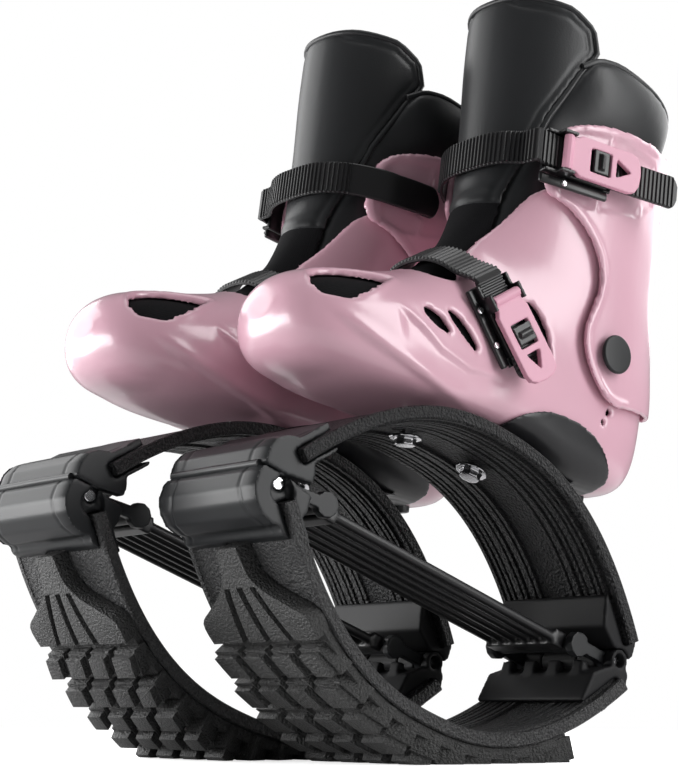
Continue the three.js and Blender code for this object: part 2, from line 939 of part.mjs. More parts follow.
// Values of a station between two rows of the table, in millimetres
function station(t) {
  const low = Math.min(Math.floor(t), last_row - 1);
  const rows = [boot_station_shares[low], boot_station_shares[low + 1]];
  const value = (k) => lerp(rows[0][k], rows[1][k], t - low);
  return {
    top: new THREE.Vector2(value(0) * boot_length, value(1) * boot_height),
    bottom: new THREE.Vector2(value(2) * boot_length, value(3) * boot_height),
    halfWidth: value(4) * boot_half_width,
    widest: value(5),
    topPower: value(6),
    bottomPower: value(7),
  };
}

// A point of a station's outline in its own plane: x across, e along from the top point.
// The angle runs from 0 at the top to 180 degrees at the sole or heel.
function outlinePoint(at, angle, outwards, rearOutwards = outwards) {
  const length = at.bottom.distanceTo(at.top);
  const middle = at.widest * length;
  const front = Math.cos(angle) >= 0;
  const power = front ? at.topPower : at.bottomPower;
  const reach = front ? middle + outwards : length - middle + rearOutwards;
  const x = Math.sign(Math.sin(angle)) * Math.abs(Math.sin(angle)) ** (2 / power);
  const e = Math.sign(Math.cos(angle)) * Math.abs(Math.cos(angle)) ** (2 / power);
  return new THREE.Vector2(x * (at.halfWidth + outwards), middle - e * reach);
}

function stationDirection(at) {
  return at.bottom.clone().sub(at.top).normalize();
}

function rowsBetween(from, to) {
  return Array.from({ length: to - from + 1 }, (_, k) => from + k);
}

// The boot's form through rows of the table, grown outwards or shrunk inwards
function bootForm(rows, outwards, rearOutwards = outwards, lift = 0, points = ring_points) {
  const rings = [];
  const outline = [];
  for (const t of rows) {
    const at = station(t);
    const direction = stationDirection(at);
    // The toe's end moves along the foot with the offset
    const toeShift = -outwards * Math.max(0, 1 - t / (toe_taper_share * last_row));
    const rise = t === rows.at(-1) ? lift : 0;
    const ring = [];
    for (let j = 0; j < points; j++) {
      const angle = (2 * Math.PI * (j + 0.5)) / points;
      const p = outlinePoint(at, angle, outwards, rearOutwards);
      ring.push(
        new THREE.Vector3(
          p.x,
          at.top.x + direction.x * p.y + toeShift,
          at.top.y + direction.y * p.y + rise,
        ),
      );
      if (t === rows[0]) outline.push(new THREE.Vector2(p.x, p.y));
    }
    rings.push(ring);
  }
  return loft(rings, outline);
}

function sidePrism(shares) {
  const outline = shares.map(([u, w]) => [u * boot_length, w * boot_height]);
  return prism(outline, -2 * boot_half_width, 2 * boot_half_width);
}

// A long slot through the side walls, between two points of the side view
function sideSlot(from, to, width) {
  const along = to.clone().sub(from);
  const across = new THREE.Vector2(-along.y, along.x).setLength(width / 2);
  const outline = [
    from.clone().add(across),
    from.clone().sub(across),
    to.clone().sub(across),
    to.clone().add(across),
  ].map((p) => [p.x, p.y]);
  const inner = boot_half_width / 2;
  return [prism(outline, inner, 2 * boot_half_width), prism(outline, -2 * boot_half_width, -inner)];
}

function placed(u, w) {
  return new THREE.Vector2(u * boot_length, w * boot_height);
}

function toeVents() {
  return [-1, 1].map((side) => {
    const shape = new THREE.Shape();
    const nose = toe_vent_reach - toe_vent_length / 2;
    const tail = toe_vent_reach + toe_vent_length / 2;
    const half = toe_vent_width / 2;
    const middle = side * toe_vent_side;
    shape.moveTo(middle, tail);
    shape.quadraticCurveTo(middle + half, toe_vent_reach, middle + half, nose + half);
    shape.quadraticCurveTo(middle, nose - half, middle - half, nose + half);
    shape.quadraticCurveTo(middle - half, toe_vent_reach, middle, tail);
    const geometry = new THREE.ExtrudeGeometry(shape, {
      depth: toe_vent_depth_share * boot_height,
      bevelEnabled: false,
      curveSegments: 3,
    });
    return solidOf(geometry.translate(0, 0, toe_vent_floor_share * boot_height));
  });
}

function rivetBar(radius, fromX, toX, sides = screw_sides) {
  return barAlongX(ankle_reach, ankle_height, radius, fromX, toX, sides);
}

// Holes for the ankle rivets, through both sides
function rivetHoles() {
  return rivetBar(rivet_stem_radius + clearance, -2 * boot_half_width, 2 * boot_half_width);
}

function lowerShell() {
  const rows = rowsBetween(0, rowAt(shell_top_share));
  const outer = bootForm(rows, 0);
  const inner = innerForm(rows, -shell_wall, overrun);
  const slits = side_slit_shares.flatMap(([u0, w0, u1, w1]) =>
    sideSlot(placed(u0, w0), placed(u1, w1), side_slit_width),
  );
  const curve = curved_slot_shares.map(([u, w]) => placed(u, w));
  const curved = [0, 1].flatMap((k) => sideSlot(curve[k], curve[k + 1], curved_slot_width));
  const bolts = boltHoles().map((hole) => inBootFrame(hole));
  return without(
    outer,
    inner,
    sidePrism(throat_shares),
    toeVents(),
    slits,
    curved,
    rivetHoles(),
    bolts,
  );
}

// A solid of the lens frame, seen from the boot's frame
function inBootFrame(solid) {
  const geometry = geometryOf(solid).translate(0, 0, -boot_seat_height);
  return solidOf(geometry.rotateX(-radians(boot_pitch_degrees)));
}

function cuff() {
  const rows = rowsBetween(rowAt(cuff_bottom_share), rowAt(cuff_top_share));
  const outer = bootForm(rows, cuff_gap + cuff_wall, cuff_rear_gap + cuff_wall);
  const inner = bootForm(rows, cuff_gap, cuff_rear_gap, overrun);
  return outer.intersect(sidePrism(cuff_shares)).subtract(inner).subtract(rivetHoles());
}

// Ankle rivet: a stem through cuff and shell under a domed cap
function ankleRivet(side) {
  const ankle = station(rowAt(ankle_row_share)).halfWidth;
  const surface = ankle + cuff_gap + cuff_wall + rivet_cap_stand;
  const middle = surface + rivet_cap_thickness / 2;
  const bar = (radius, from, to, sides) =>
    rivetBar(radius, Math.min(side * from, side * to), Math.max(side * from, side * to), sides);
  const cap = bar(rivet_cap_radius, surface, middle, dome_sides);
  const dome = bar(rivet_dome_share * rivet_cap_radius, middle, surface + rivet_cap_thickness);
  const stem = bar(rivet_stem_radius, ankle - shell_wall, surface);
  return union(cap, dome, stem);
}

// What the shell and the liner leave open inside, with fewer facets than the outside
function innerForm(rows, outwards, lift) {
  return bootForm(rows, outwards, outwards, lift, inner_ring_points);
}

// The soft shoe inside; what it leaves for the foot follows every other row
function softForm() {
  const rows = rowsBetween(0, last_row);
  const fewer = rows.filter((t) => t % 2 === 0);
  const outside = -shell_wall - soft_clearance;
  const inside = outside - liner_wall;
  return innerForm(rows, outside, 0).subtract(innerForm(fewer, inside, overrun));
}

function liner() {
  const above = block(
    -2 * boot_half_width,
    2 * boot_half_width,
    -boot_length,
    boot_length,
    liner_top_share * boot_height,
    2 * boot_height,
  );
  return softForm().subtract(above).subtract(sidePrism(tongue_edge_shares));
}

function tongue() {
  const zone = tongue_edge_shares.map(([u, w]) => [
    u * boot_length - soft_clearance,
    w * boot_height + soft_clearance,
  ]);
  return softForm().intersect(prism(zone, -2 * boot_half_width, 2 * boot_half_width));
}

// Heel mount: the wedge between the boot's sole and the leaf, with a lip up the heel's sides
function heelMount() {
  const outline = mount_profile_shares.map(([reach, height]) => [
    mount_front_reach + reach * mount_length,
    height * mount_depth - clearance,
  ]);
  const wedge = prism(outline.reverse(), -mount_half_width, mount_half_width);
  const shellSpace = bootForm(rowsBetween(...mount_row_shares.map(rowAt)), clearance);
  const leafSpace = inBootFrame(
    leafBand(
      leaf_half_width + overrun,
      leaf_crown_height,
      leaf_half_thickness + clearance,
      -leaf_half_length,
      leaf_half_length,
      1,
    ),
  );
  const lips = [-1, 1].map((side) => {
    const x0 = side * (mount_half_width - mount_lip_thickness);
    const x1 = side * (mount_half_width + mount_lip_thickness);
    return block(
      Math.min(x0, x1),
      Math.max(x0, x1),
      mount_front_reach + mount_lip_shares[0] * mount_length,
      mount_front_reach + mount_lip_shares[1] * mount_length,
      -mount_lip_height,
      mount_lip_height,
    );
  });
  const bolts = boltHoles().map((hole) => inBootFrame(hole));
  return without(union(wedge, lips), shellSpace, leafSpace, bolts);
}

// A rubber knob square to the wedge's slanted underside
function heelBumper() {
  const [rear, front] = [mount_profile_shares[3], mount_profile_shares[4]].map(
    ([reach, height]) =>
      new THREE.Vector2(mount_front_reach + reach * mount_length, height * mount_depth),
  );
  const seat = front.clone().lerp(rear, bumper_share);
  const slope = Math.atan2(rear.y - front.y, rear.x - front.x);
  const narrow = bumper_tip_share * bumper_radius;
  const geometry = new THREE.CylinderGeometry(bumper_radius, narrow, bumper_height, pin_sides);
  geometry.rotateX(Math.PI / 2).translate(0, 0, -bumper_height / 2 - 2 * clearance);
  geometry.rotateX(slope).translate(0, seat.x, seat.y);
  return solidOf(geometry);
}

// Mounting bolt: shank, washer and head on the leaf's inner face
function mountingBolt(reach) {
  const under = clearance + leaf_rib_height;
  const shank = boltBar(reach, bolt_shank_radius, under + washer_thickness, bolt_shank_length);
  const washer = boltBar(reach, washer_radius, under + washer_thickness, -under, dome_sides);
  const head = boltBar(
    reach,
    bolt_head_radius,
    under + washer_thickness + bolt_head_height,
    -under - washer_thickness / 2,
  );
  return union(shank, washer, head);
}

// Straps and buckles

// Where a buckle sits: on a station's outline at an angle, with its outward and along directions
function buckleSeat(stationNumber, angleDegrees, outwards) {
  const at = station(stationNumber);
  const angle = radians(angleDegrees);
  const step = 1e-3;
  const point = outlinePoint(at, angle, outwards);
  const along = outlinePoint(at, angle + step, outwards)
    .sub(outlinePoint(at, angle - step, outwards))
    .normalize();
  return { at, point, along, out: new THREE.Vector2(along.y, -along.x) };
}

// The plane of a station as a matrix: its x, its direction from top to bottom, and its normal
function stationPlane(at) {
  const d = stationDirection(at);
  return new THREE.Matrix4()
    .makeBasis(
      new THREE.Vector3(1, 0, 0),
      new THREE.Vector3(0, d.x, d.y),
      new THREE.Vector3(0, -d.y, d.x),
    )
    .setPosition(0, at.top.x, at.top.y);
}

// A ladder strap in a station's plane: round the front, through the buckle and on as a tail
function ladderStrap(seat, overTongue, overSide, tail, plainShare) {
  const { at, point, along, out } = seat;
  const path = [];
  const turn = strap_side_degrees;
  for (let degrees = -strap_medial_degrees; degrees <= turn + 1; degrees += strap_step_degrees) {
    const share = Math.min(Math.abs(degrees) / turn, 1);
    const outwards = lerp(overTongue, overSide, share ** strap_rise_power);
    path.push(outlinePoint(at, radians(degrees), outwards + strap_thickness / 2));
  }
  const height = buckle_floor + clearance + strap_thickness / 2;
  const half = buckle_length / 2;
  for (const reach of [-half - buckle_lead, -half, 0, half, half + tail]) {
    const p = point.clone().addScaledVector(along, reach);
    path.push(p.addScaledVector(out, height));
  }
  const curve = new THREE.SplineCurve(path);
  const length = curve.getLength();
  const steps = Math.round(length / (strap_tooth_pitch / 2));
  const inner = [];
  const outer = [];
  for (let i = 0; i <= steps; i++) {
    const share = i / steps;
    const p = curve.getPointAt(share);
    const tangent = curve.getTangentAt(share);
    const normal = new THREE.Vector2(tangent.y, -tangent.x);
    const toothed = share > plainShare && i % 2 === 1 && i < steps;
    const plain = share <= plainShare && i % 3 !== 0;
    if (!plain || i === steps) {
      inner.push(p.clone().addScaledVector(normal, -strap_thickness / 2));
    }
    if (plain) continue;
    const rise = toothed ? strap_tooth_height : 0;
    outer.push(p.clone().addScaledVector(normal, strap_thickness / 2 + rise));
  }
  const everyOther = inner.filter((_, i) => i % 2 === 0 || i === inner.length - 1);
  const shape = new THREE.Shape([...everyOther, ...outer.reverse()]);
  const geometry = new THREE.ExtrudeGeometry(shape, { depth: strap_width, bevelEnabled: false });
  geometry.translate(0, 0, -strap_width / 2).applyMatrix4(stationPlane(at));
  return solidOf(geometry);
}

// The buckle's pieces are drawn with X outwards, Y along the strap and Z across it
function acrossBar(y, height, radius, halfLength, sides = screw_sides) {
  const geometry = new THREE.CylinderGeometry(radius, radius, 2 * halfLength, sides);
  geometry.rotateX(Math.PI / 2);
  return solidOf(geometry.translate(height, y, 0));
}

function buckleBase() {
  const half = buckle_length / 2;
  const edge = buckle_width / 2;
  const pivot = buckle_pivot_share * buckle_length;
  const ear = buckle_ear_half_length;
  const floor = block(0, buckle_floor, -half, half * buckle_floor_end_share, -edge, edge);
  const walls = [-1, 1].flatMap((side) => {
    const z0 = Math.min(side * edge, side * (edge - buckle_wall));
    const z1 = z0 + buckle_wall;
    return [
      block(0, buckle_wall_height, -half, half * buckle_wall_end_share, z0, z1),
      block(0, buckle_ear_height, pivot - ear, pivot + ear, z0, z1),
    ];
  });
  const pin = acrossBar(pivot, buckle_pivot_height, buckle_pin_radius, edge);
  return union(floor, walls, pin);
}

function buckleLever() {
  const pivot = buckle_pivot_share * buckle_length;
  const neck = buckle_width / 2 - buckle_wall - clearance;
  const end = lever_end_width / 2;
  const shape = new THREE.Shape();
  const shoulder = pivot + lever_shoulder_length;
  const round = lever_reach - end * lever_round_share;
  shape.moveTo(pivot, -neck);
  shape.lineTo(pivot + lever_neck_length, -neck);
  shape.lineTo(shoulder, -end);
  shape.lineTo(round, -end);
  shape.quadraticCurveTo(lever_reach, -end, lever_reach, 0);
  shape.quadraticCurveTo(lever_reach, end, round, end);
  shape.lineTo(shoulder, end);
  shape.lineTo(pivot + lever_neck_length, neck);
  shape.lineTo(pivot, neck);
  const window = new THREE.Path([
    new THREE.Vector2(lever_window_start, -lever_window_width / 2),
    new THREE.Vector2(lever_window_start, lever_window_width / 2),
    new THREE.Vector2(lever_window_start + lever_window_length, lever_window_width / 2),
    new THREE.Vector2(lever_window_start + lever_window_length, -lever_window_width / 2),
  ]);
  const eye = new THREE.Path([
    new THREE.Vector2(lever_eye_start, -lever_eye_width / 2),
    new THREE.Vector2(lever_eye_start, lever_eye_width / 2),
    new THREE.Vector2(lever_eye_start + lever_eye_length, 0),
  ]);
  shape.holes.push(window, eye);
  const geometry = new THREE.ExtrudeGeometry(shape, {
    depth: lever_thickness,
    bevelEnabled: false,
    curveSegments: 3,
  });
  const axes = new THREE.Matrix4().makeBasis(
    new THREE.Vector3(0, 1, 0),
    new THREE.Vector3(0, 0, 1),
    new THREE.Vector3(1, 0, 0),
  );
  const plate = solidOf(geometry.applyMatrix4(axes).translate(lever_height, 0, 0));
  const hub = acrossBar(pivot, buckle_pivot_height, lever_hub_radius, neck);
  const bore = acrossBar(pivot, buckle_pivot_height, buckle_pin_radius + clearance, 2 * neck);
  return union(plate, hub).subtract(bore);
}

// The pawl in the lever's window, with a round knob
function bucklePawl() {
  const start = lever_window_start + (lever_window_length - pawl_length) / 2;
  const half = lever_window_width / 2 - clearance;
  const top = lever_height + pawl_thickness;
  const body = block(lever_height, top, start, start + pawl_length, -half, half);
  const knob = acrossBar(start + pawl_length / 2, top, pawl_knob, half * pawl_knob_share);
  return union(body, knob);
}

// Assembly

// A mesh's geometry mirrored to the other side of the body
function mirrored(geometry) {
  const copy = geometry.clone();
  const positions = copy.attributes.position;
  for (let i = 0; i < positions.count; i++) positions.setX(i, -positions.getX(i));
  return turned(copy);
}

function group(parent) {
  const made = new THREE.Group();
  parent.add(made);
  return made;
}

const over_side = instep_stand;
const over_cuff = cuff_gap + cuff_wall + strap_stand;
const over_tongue = -shell_wall + strap_stand;
const instep_seat = buckleSeat(instep_row_share * last_row, instep_buckle_degrees, over_side);
const calf_seat = buckleSeat(calf_row_share * last_row, calf_buckle_degrees, over_cuff);
const instep_strap = ladderStrap(
  instep_seat,
  over_tongue,
  over_side,
  instep_tail,
  instep_plain_share,
);
const calf_strap = ladderStrap(calf_seat, over_tongue, over_cuff, calf_tail, calf_plain_share);

// A buckle piece moved from its own axes to its seat on the boot
function onSeat(solid, seat) {
  const { at, point, along, out } = seat;
  const local = new THREE.Matrix4()
    .makeBasis(
      new THREE.Vector3(out.x, out.y, 0),
      new THREE.Vector3(along.x, along.y, 0),
      new THREE.Vector3(0, 0, 1),
    )
    .setPosition(point.x, point.y, 0);
  return solidOf(geometryOf(solid).applyMatrix4(stationPlane(at).multiply(local)));
}

// Every piece of one boot: name, finish, frame and solid
const lens_pieces = [
  ["upper_leaf", "leaf", upperLeaf()],
  ["lower_leaf", "leaf", lowerLeaf()],
  ["tread", "rubber", tread()],
  ["front_upper_cap", "cap", frontUpperCap()],
  ["front_lower_cap", "cap", frontLowerCap()],
  ["rear_upper_cap", "cap", rearCap(1)],
  ["rear_lower_cap", "cap", rearCap(-1)],
  ["front_axle", "steel", axle(-front_axle_reach, -front_axle_drop)],
  ["rear_axle", "steel", axle(rear_axle_reach, 0)],
  ["front_yoke", "cap", yoke(-1, front_axle_reach, -front_axle_drop, knuckle_radius)],
  ["rear_yoke", "cap", yoke(1, rear_axle_reach, 0, rear_knuckle_radius)],
  ["stretch_spring", "spring", stretchSpring()],
  ["front_mounting_bolt", "steel", mountingBolt(bolt_reaches[0])],
  ["rear_mounting_bolt", "steel", mountingBolt(bolt_reaches[1])],
];

const boot_pieces = [
  ["shell", "shell", lowerShell()],
  ["cuff", "shell", cuff()],
  ["outer_ankle_rivet", "cap", ankleRivet(1)],
  ["inner_ankle_rivet", "cap", ankleRivet(-1)],
  ["liner", "lining", liner()],
  ["tongue", "lining", tongue()],
  ["heel_mount", "rubber", heelMount()],
  ["heel_bumper", "rubber", heelBumper()],
  ["instep_strap", "strap", instep_strap],
  ["instep_buckle_base", "cap", onSeat(buckleBase(), instep_seat)],
  ["instep_lever", "lever", onSeat(buckleLever(), instep_seat)],
  ["instep_pawl", "cap", onSeat(bucklePawl(), instep_seat)],
  ["calf_strap", "strap", calf_strap],
  ["calf_buckle_base", "cap", onSeat(buckleBase(), calf_seat)],
  ["calf_lever", "lever", onSeat(buckleLever(), calf_seat)],
  ["calf_pawl", "cap", onSeat(bucklePawl(), calf_seat)],
];

function addPieces(parent, side, pieces) {
  for (const [name, finish, solid] of pieces) {
    const geometry = geometryOf(solid);
    const shown = side === "left" ? geometry : mirrored(geometry);
    shown.computeVertexNormals();
    const mesh = new THREE.Mesh(shown, new THREE.MeshStandardMaterial(finishes[finish]));
    mesh.name = `${side}_${name}`;
    parent.add(mesh);
  }
}

const pair = new THREE.Group();
for (const side of ["left", "right"]) {
  const lens = group(pair);
  const isLeft = side === "left";
  lens.position.set(
    isLeft ? boot_spacing / 2 : -boot_spacing / 2,
    isLeft ? stance_stagger / 2 : -stance_stagger / 2,
    lens_centre_height,
  );
  lens.rotation.x = -radians(rock_back_degrees);
  addPieces(lens, side, lens_pieces);

  const boot = group(lens);
  boot.position.z = boot_seat_height;
  boot.rotation.x = radians(boot_pitch_degrees);
  addPieces(boot, side, boot_pieces);
}

// The origin is the middle of the pair's footprint, on the floor
const box = new THREE.Box3().setFromObject(pair, true);
pair.position.y = -(box.min.y + box.max.y) / 2;

export default pair;
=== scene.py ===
# %% [markdown]
# A pair of rebound jumping shoes, dressed from a imported CAD frame. The frame gives every part its
# place, so it is loaded first. Lengths of the shoes are written in millimetres and turned into
# Blender's metres where they are used. The studio, the merging of points and the bumps of the
# finishes are in metres.

# %% The frame
import math
import bpy
import bmesh
import numpy as np
from mathutils import Matrix, Vector


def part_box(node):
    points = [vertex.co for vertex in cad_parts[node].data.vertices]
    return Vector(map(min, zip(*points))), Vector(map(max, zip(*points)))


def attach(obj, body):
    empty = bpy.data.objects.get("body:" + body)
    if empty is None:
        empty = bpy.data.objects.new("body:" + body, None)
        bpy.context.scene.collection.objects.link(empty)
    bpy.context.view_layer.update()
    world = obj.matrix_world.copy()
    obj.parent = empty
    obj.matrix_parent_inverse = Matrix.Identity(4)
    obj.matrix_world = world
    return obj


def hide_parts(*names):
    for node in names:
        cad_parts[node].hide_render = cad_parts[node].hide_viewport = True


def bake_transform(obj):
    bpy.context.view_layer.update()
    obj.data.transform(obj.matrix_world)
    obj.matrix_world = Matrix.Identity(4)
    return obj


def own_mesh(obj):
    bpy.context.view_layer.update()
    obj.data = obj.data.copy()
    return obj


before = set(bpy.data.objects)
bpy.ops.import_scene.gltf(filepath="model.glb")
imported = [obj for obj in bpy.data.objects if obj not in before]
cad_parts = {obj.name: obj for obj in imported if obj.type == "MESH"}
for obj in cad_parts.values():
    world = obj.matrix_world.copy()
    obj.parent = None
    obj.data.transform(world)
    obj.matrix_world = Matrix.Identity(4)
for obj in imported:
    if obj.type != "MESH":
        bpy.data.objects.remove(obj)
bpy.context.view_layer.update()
mm = 0.001

# %% [markdown]
# Both shoes rock back on their treads. Each has a lens frame, centred between the two leaf springs,
# and a boot frame on top of it, pitched forward again. Pieces are modelled for the left shoe in
# those frames and moved into place, and the right shoe gets mirrored copies.

# %% Frames of the left shoe
ROCK_BACK = math.radians(20)
BOOT_PITCH = math.radians(11)
LENS_HEIGHT = 102.3
BOOT_SEAT = 92.6
AXLE_REACH = 137
AXLE_DROP = 4
STAGGER = 44

low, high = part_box("left_front_axle")
axle_y = (low[1] + high[1]) / 2
lens_x = (low[0] + high[0]) / 2
lens_y = axle_y + (AXLE_REACH * math.cos(ROCK_BACK) + AXLE_DROP * math.sin(ROCK_BACK)) * mm
LENS = Matrix.Translation((lens_x, lens_y, LENS_HEIGHT * mm)) @ Matrix.Rotation(-ROCK_BACK, 4, "X")
BOOT = LENS @ Matrix.Translation((0, 0, BOOT_SEAT * mm)) @ Matrix.Rotation(BOOT_PITCH, 4, "X")
print("left lens centre", [round(v, 4) for v in LENS.translation])

def placed(matrix, x, y, z):
    """A point of a frame, given in millimetres, in the scene's metres."""
    return tuple(matrix @ Vector((x * mm, y * mm, z * mm)))

# %% [markdown]
# The camera stands low at the left boot's outer front side and looks slightly up, as in the
# photograph. Its place was fitted to the outlines of the springs, so nothing needs a lens shift.

# %% Camera
CAMERA_FROM_LENS = (824.8, -717.6, 28.4)
CAMERA_AZIMUTH = math.radians(51.3)
CAMERA_PITCH = math.radians(9.6)
CAMERA_ROLL = math.radians(-0.3)
FOCAL_PIXELS = 1891
PHOTO_HEIGHT = 782
SENSOR = 36

def add_object(name, data):
    obj = bpy.data.objects.new(name, data)
    bpy.context.collection.objects.link(obj)
    return obj

camera_data = bpy.data.cameras.new("camera")
camera_data.sensor_fit = "VERTICAL"
camera_data.sensor_height = SENSOR
camera_data.lens = FOCAL_PIXELS * SENSOR / PHOTO_HEIGHT
camera = add_object("camera", camera_data)
camera.location = (
    lens_x + CAMERA_FROM_LENS[0] * mm,
    lens_y + CAMERA_FROM_LENS[1] * mm,
    CAMERA_FROM_LENS[2] * mm,
)
camera.rotation_euler = (math.radians(90) + CAMERA_PITCH, CAMERA_ROLL, CAMERA_AZIMUTH)
bpy.context.scene.camera = camera
print("focal length", round(camera_data.lens, 1), "mm")

# %% [markdown]
# The studio is a white room. A soft lamp hangs overhead, a large one stands at the left, a low one
# in front lights the treads, and a strip at the right and a lamp behind draw the bright lines on
# the glossy shells. Each row of the table is one lamp, in metres and watts.

# %% Lamps
LAMPS = {
    # name: place, target, width and height, watts
    "overhead_light": ((0.1, 0, 1.6), (0, 0, 0.2), (0.9, 0.9), 4),
    "left_light": ((-1.5, -0.5, 0.7), (0, 0, 0.2), (1.4, 1.4), 17),
    "low_front_light": ((-0.9, -1.5, 0.25), (0, 0, 0.08), (1.8, 0.5), 28),
    "right_strip": ((1.2, 0.7, 0.75), (0.05, 0, 0.25), (0.6, 1.6), 17),
    "back_light": ((-0.1, 1.4, 0.9), (0, 0, 0.25), (1.4, 0.8), 9),
}

for name, (place, target, size, watts) in LAMPS.items():
    lamp = bpy.data.lights.new(name, "AREA")
    lamp.shape = "RECTANGLE"
    lamp.size, lamp.size_y = size
    lamp.energy = watts
    stand = add_object(name, lamp)
    stand.location = place
    stand.rotation_euler = (Vector(target) - Vector(place)).to_track_quat("-Z", "Y").to_euler()
print(len(LAMPS), "lamps")

# %% [markdown]
# A real studio's backdrop is bright, but the dark springs would then reflect it and turn grey. So
# the room and the floor show white to the camera and give the scene less light. A Light Path node
# tells the two apart. Nodes are made by one helper, so that a tree reads as a short list.

# %% Room and floor
FLOOR_SIZE = 3.4
FLOOR_DROP = 0.0005
ROOM_LEVELS = (0.15, 1.0)
FLOOR_COLOUR_LEVELS = (0.80, 1.3)
FLOOR_GLOW_LEVELS = (0.0, 0.72)

def plug(tree, node, inputs):
    """Gives each named input of a node a value or the output of another node."""
    for socket, value in inputs.items():
        if isinstance(value, bpy.types.NodeSocket):
            tree.links.new(value, node.inputs[socket])
        else:
            node.inputs[socket].default_value = value

def add_node(tree, kind, inputs={}, **settings):
    node = tree.nodes.new("ShaderNode" + kind)
    for setting, value in settings.items():
        setattr(node, setting, value)
    plug(tree, node, inputs)
    return node

def seen_level(tree, unseen, seen):
    """One level for the light that the scene gets and another for what the camera sees."""
    rays = add_node(tree, "LightPath").outputs
    either = {0: rays["Is Camera Ray"], 1: rays["Is Transmission Ray"]}
    is_seen = add_node(tree, "Math", either, operation="MAXIMUM").outputs[0]
    levels = {"Value": is_seen, "To Min": unseen, "To Max": seen}
    return add_node(tree, "MapRange", levels).outputs["Result"]

world = bpy.data.worlds.new("world")
bpy.context.scene.world = world
world.use_nodes = True
sky = world.node_tree
plug(sky, sky.nodes["Background"], {"Color": (1, 1, 1, 1), "Strength": seen_level(sky, *ROOM_LEVELS)})

bpy.ops.mesh.primitive_plane_add(size=FLOOR_SIZE, location=(0, 0, -FLOOR_DROP))
floor = bpy.context.object
floor.name = "floor"
floor_paint = bpy.data.materials.new("floor_paint")
floor_paint.use_nodes = True
paint = floor_paint.node_tree
matt = add_node(paint, "BsdfDiffuse", {"Color": seen_level(paint, *FLOOR_COLOUR_LEVELS)})
glow = add_node(paint, "Emission", {"Strength": seen_level(paint, *FLOOR_GLOW_LEVELS)})
both = add_node(paint, "AddShader", {0: matt.outputs["BSDF"], 1: glow.outputs["Emission"]})
plug(paint, paint.nodes["Material Output"], {"Surface": both.outputs["Shader"]})
floor.data.materials.append(floor_paint)
print("floor", FLOOR_SIZE, "m wide")

# %% [markdown]
# Small helpers come next. Deselecting everything before an operator matters, because an operator
# works on all that is selected, and the frame's nodes are selected when they are loaded.

# %% Modelling helpers
THROUGH = 90
MERGE = 1e-6
NODE_MERGE = 2e-5

def pick(*objects):
    bpy.ops.object.select_all(action="DESELECT")
    for obj in objects:
        obj.select_set(True)
    bpy.context.view_layer.objects.active = objects[0]

def apply_modifiers(obj):
    pick(obj)
    for modifier in list(obj.modifiers):
        bpy.ops.object.modifier_apply(modifier=modifier.name)
    return obj

def merge(mesh, distance, turn_out):
    """Merges doubles, and turns the faces outwards if asked."""
    shape = bmesh.new()
    shape.from_mesh(mesh)
    bmesh.ops.remove_doubles(shape, verts=shape.verts, dist=distance)
    if turn_out:
        bmesh.ops.recalc_face_normals(shape, faces=shape.faces)
    shape.to_mesh(mesh)
    shape.free()

def skin(name, rings):
    """A closed body through rings of equal length, with a fan over each end."""
    count = len(rings[0])
    points = [p for ring in rings for p in ring]
    faces = []
    for i in range(len(rings) - 1):
        for j in range(count):
            a, b = i * count + j, i * count + (j + 1) % count
            faces.append((a, b, b + count, a + count))
    for first in (0, (len(rings) - 1) * count):
        ring = [Vector(p) for p in points[first:first + count]]
        points.append(tuple(sum(ring, Vector()) / count))
        hub = len(points) - 1
        faces += [(first + j, first + (j + 1) % count, hub) for j in range(count)]
    mesh = bpy.data.meshes.new(name)
    mesh.from_pydata([tuple(c * mm for c in p) for p in points], [], faces)
    mesh.update()
    merge(mesh, MERGE, True)
    return add_object(name, mesh)

# %% Bars, boxes and plates
def round_edges(obj, width, steps=2, angle=40):
    modifier = obj.modifiers.new("round", "BEVEL")
    modifier.width = width * mm
    modifier.segments = steps
    modifier.limit_method = "ANGLE"
    modifier.angle_limit = math.radians(angle)
    return apply_modifiers(obj)

def rod(name, radius, start, end, sides, bevel=0, steps=2):
    """A round bar between two points, its end edges rounded by bevel."""
    start, end = Vector(start) * mm, Vector(end) * mm
    along = end - start
    bpy.ops.mesh.primitive_cylinder_add(vertices=sides, radius=radius * mm, depth=along.length)
    obj = bpy.context.object
    obj.name = name
    turn = along.to_track_quat("Z", "Y").to_matrix().to_4x4()
    obj.data.transform(Matrix.Translation((start + end) / 2) @ turn)
    return round_edges(obj, bevel, steps) if bevel else obj

def slab(name, low, high, bevel, steps):
    """An upright box between two corners, its edges rounded by bevel."""
    low, high = Vector(low), Vector(high)
    bpy.ops.mesh.primitive_cube_add(size=1)
    obj = bpy.context.object
    obj.name = name
    scale = Matrix.Diagonal((*((high - low) * mm), 1))
    obj.data.transform(Matrix.Translation((low + high) / 2 * mm) @ scale)
    return round_edges(obj, bevel, steps)

def plate(name, outline, start=-THROUGH, end=THROUGH):
    """A side-view outline (along, up) extruded from one x to another."""
    mesh = bpy.data.meshes.new(name)
    corners = [(start * mm, y * mm, z * mm) for y, z in outline]
    mesh.from_pydata(corners, [], [list(range(len(outline)))])
    obj = add_object(name, mesh)
    pick(obj)
    bpy.ops.object.mode_set(mode="EDIT")
    bpy.ops.mesh.select_all(action="SELECT")
    shift = ((end - start) * mm, 0, 0)
    bpy.ops.mesh.extrude_region_move(TRANSFORM_OT_translate={"value": shift})
    bpy.ops.mesh.select_all(action="SELECT")
    bpy.ops.mesh.normals_make_consistent(inside=False)
    bpy.ops.object.mode_set(mode="OBJECT")
    return obj

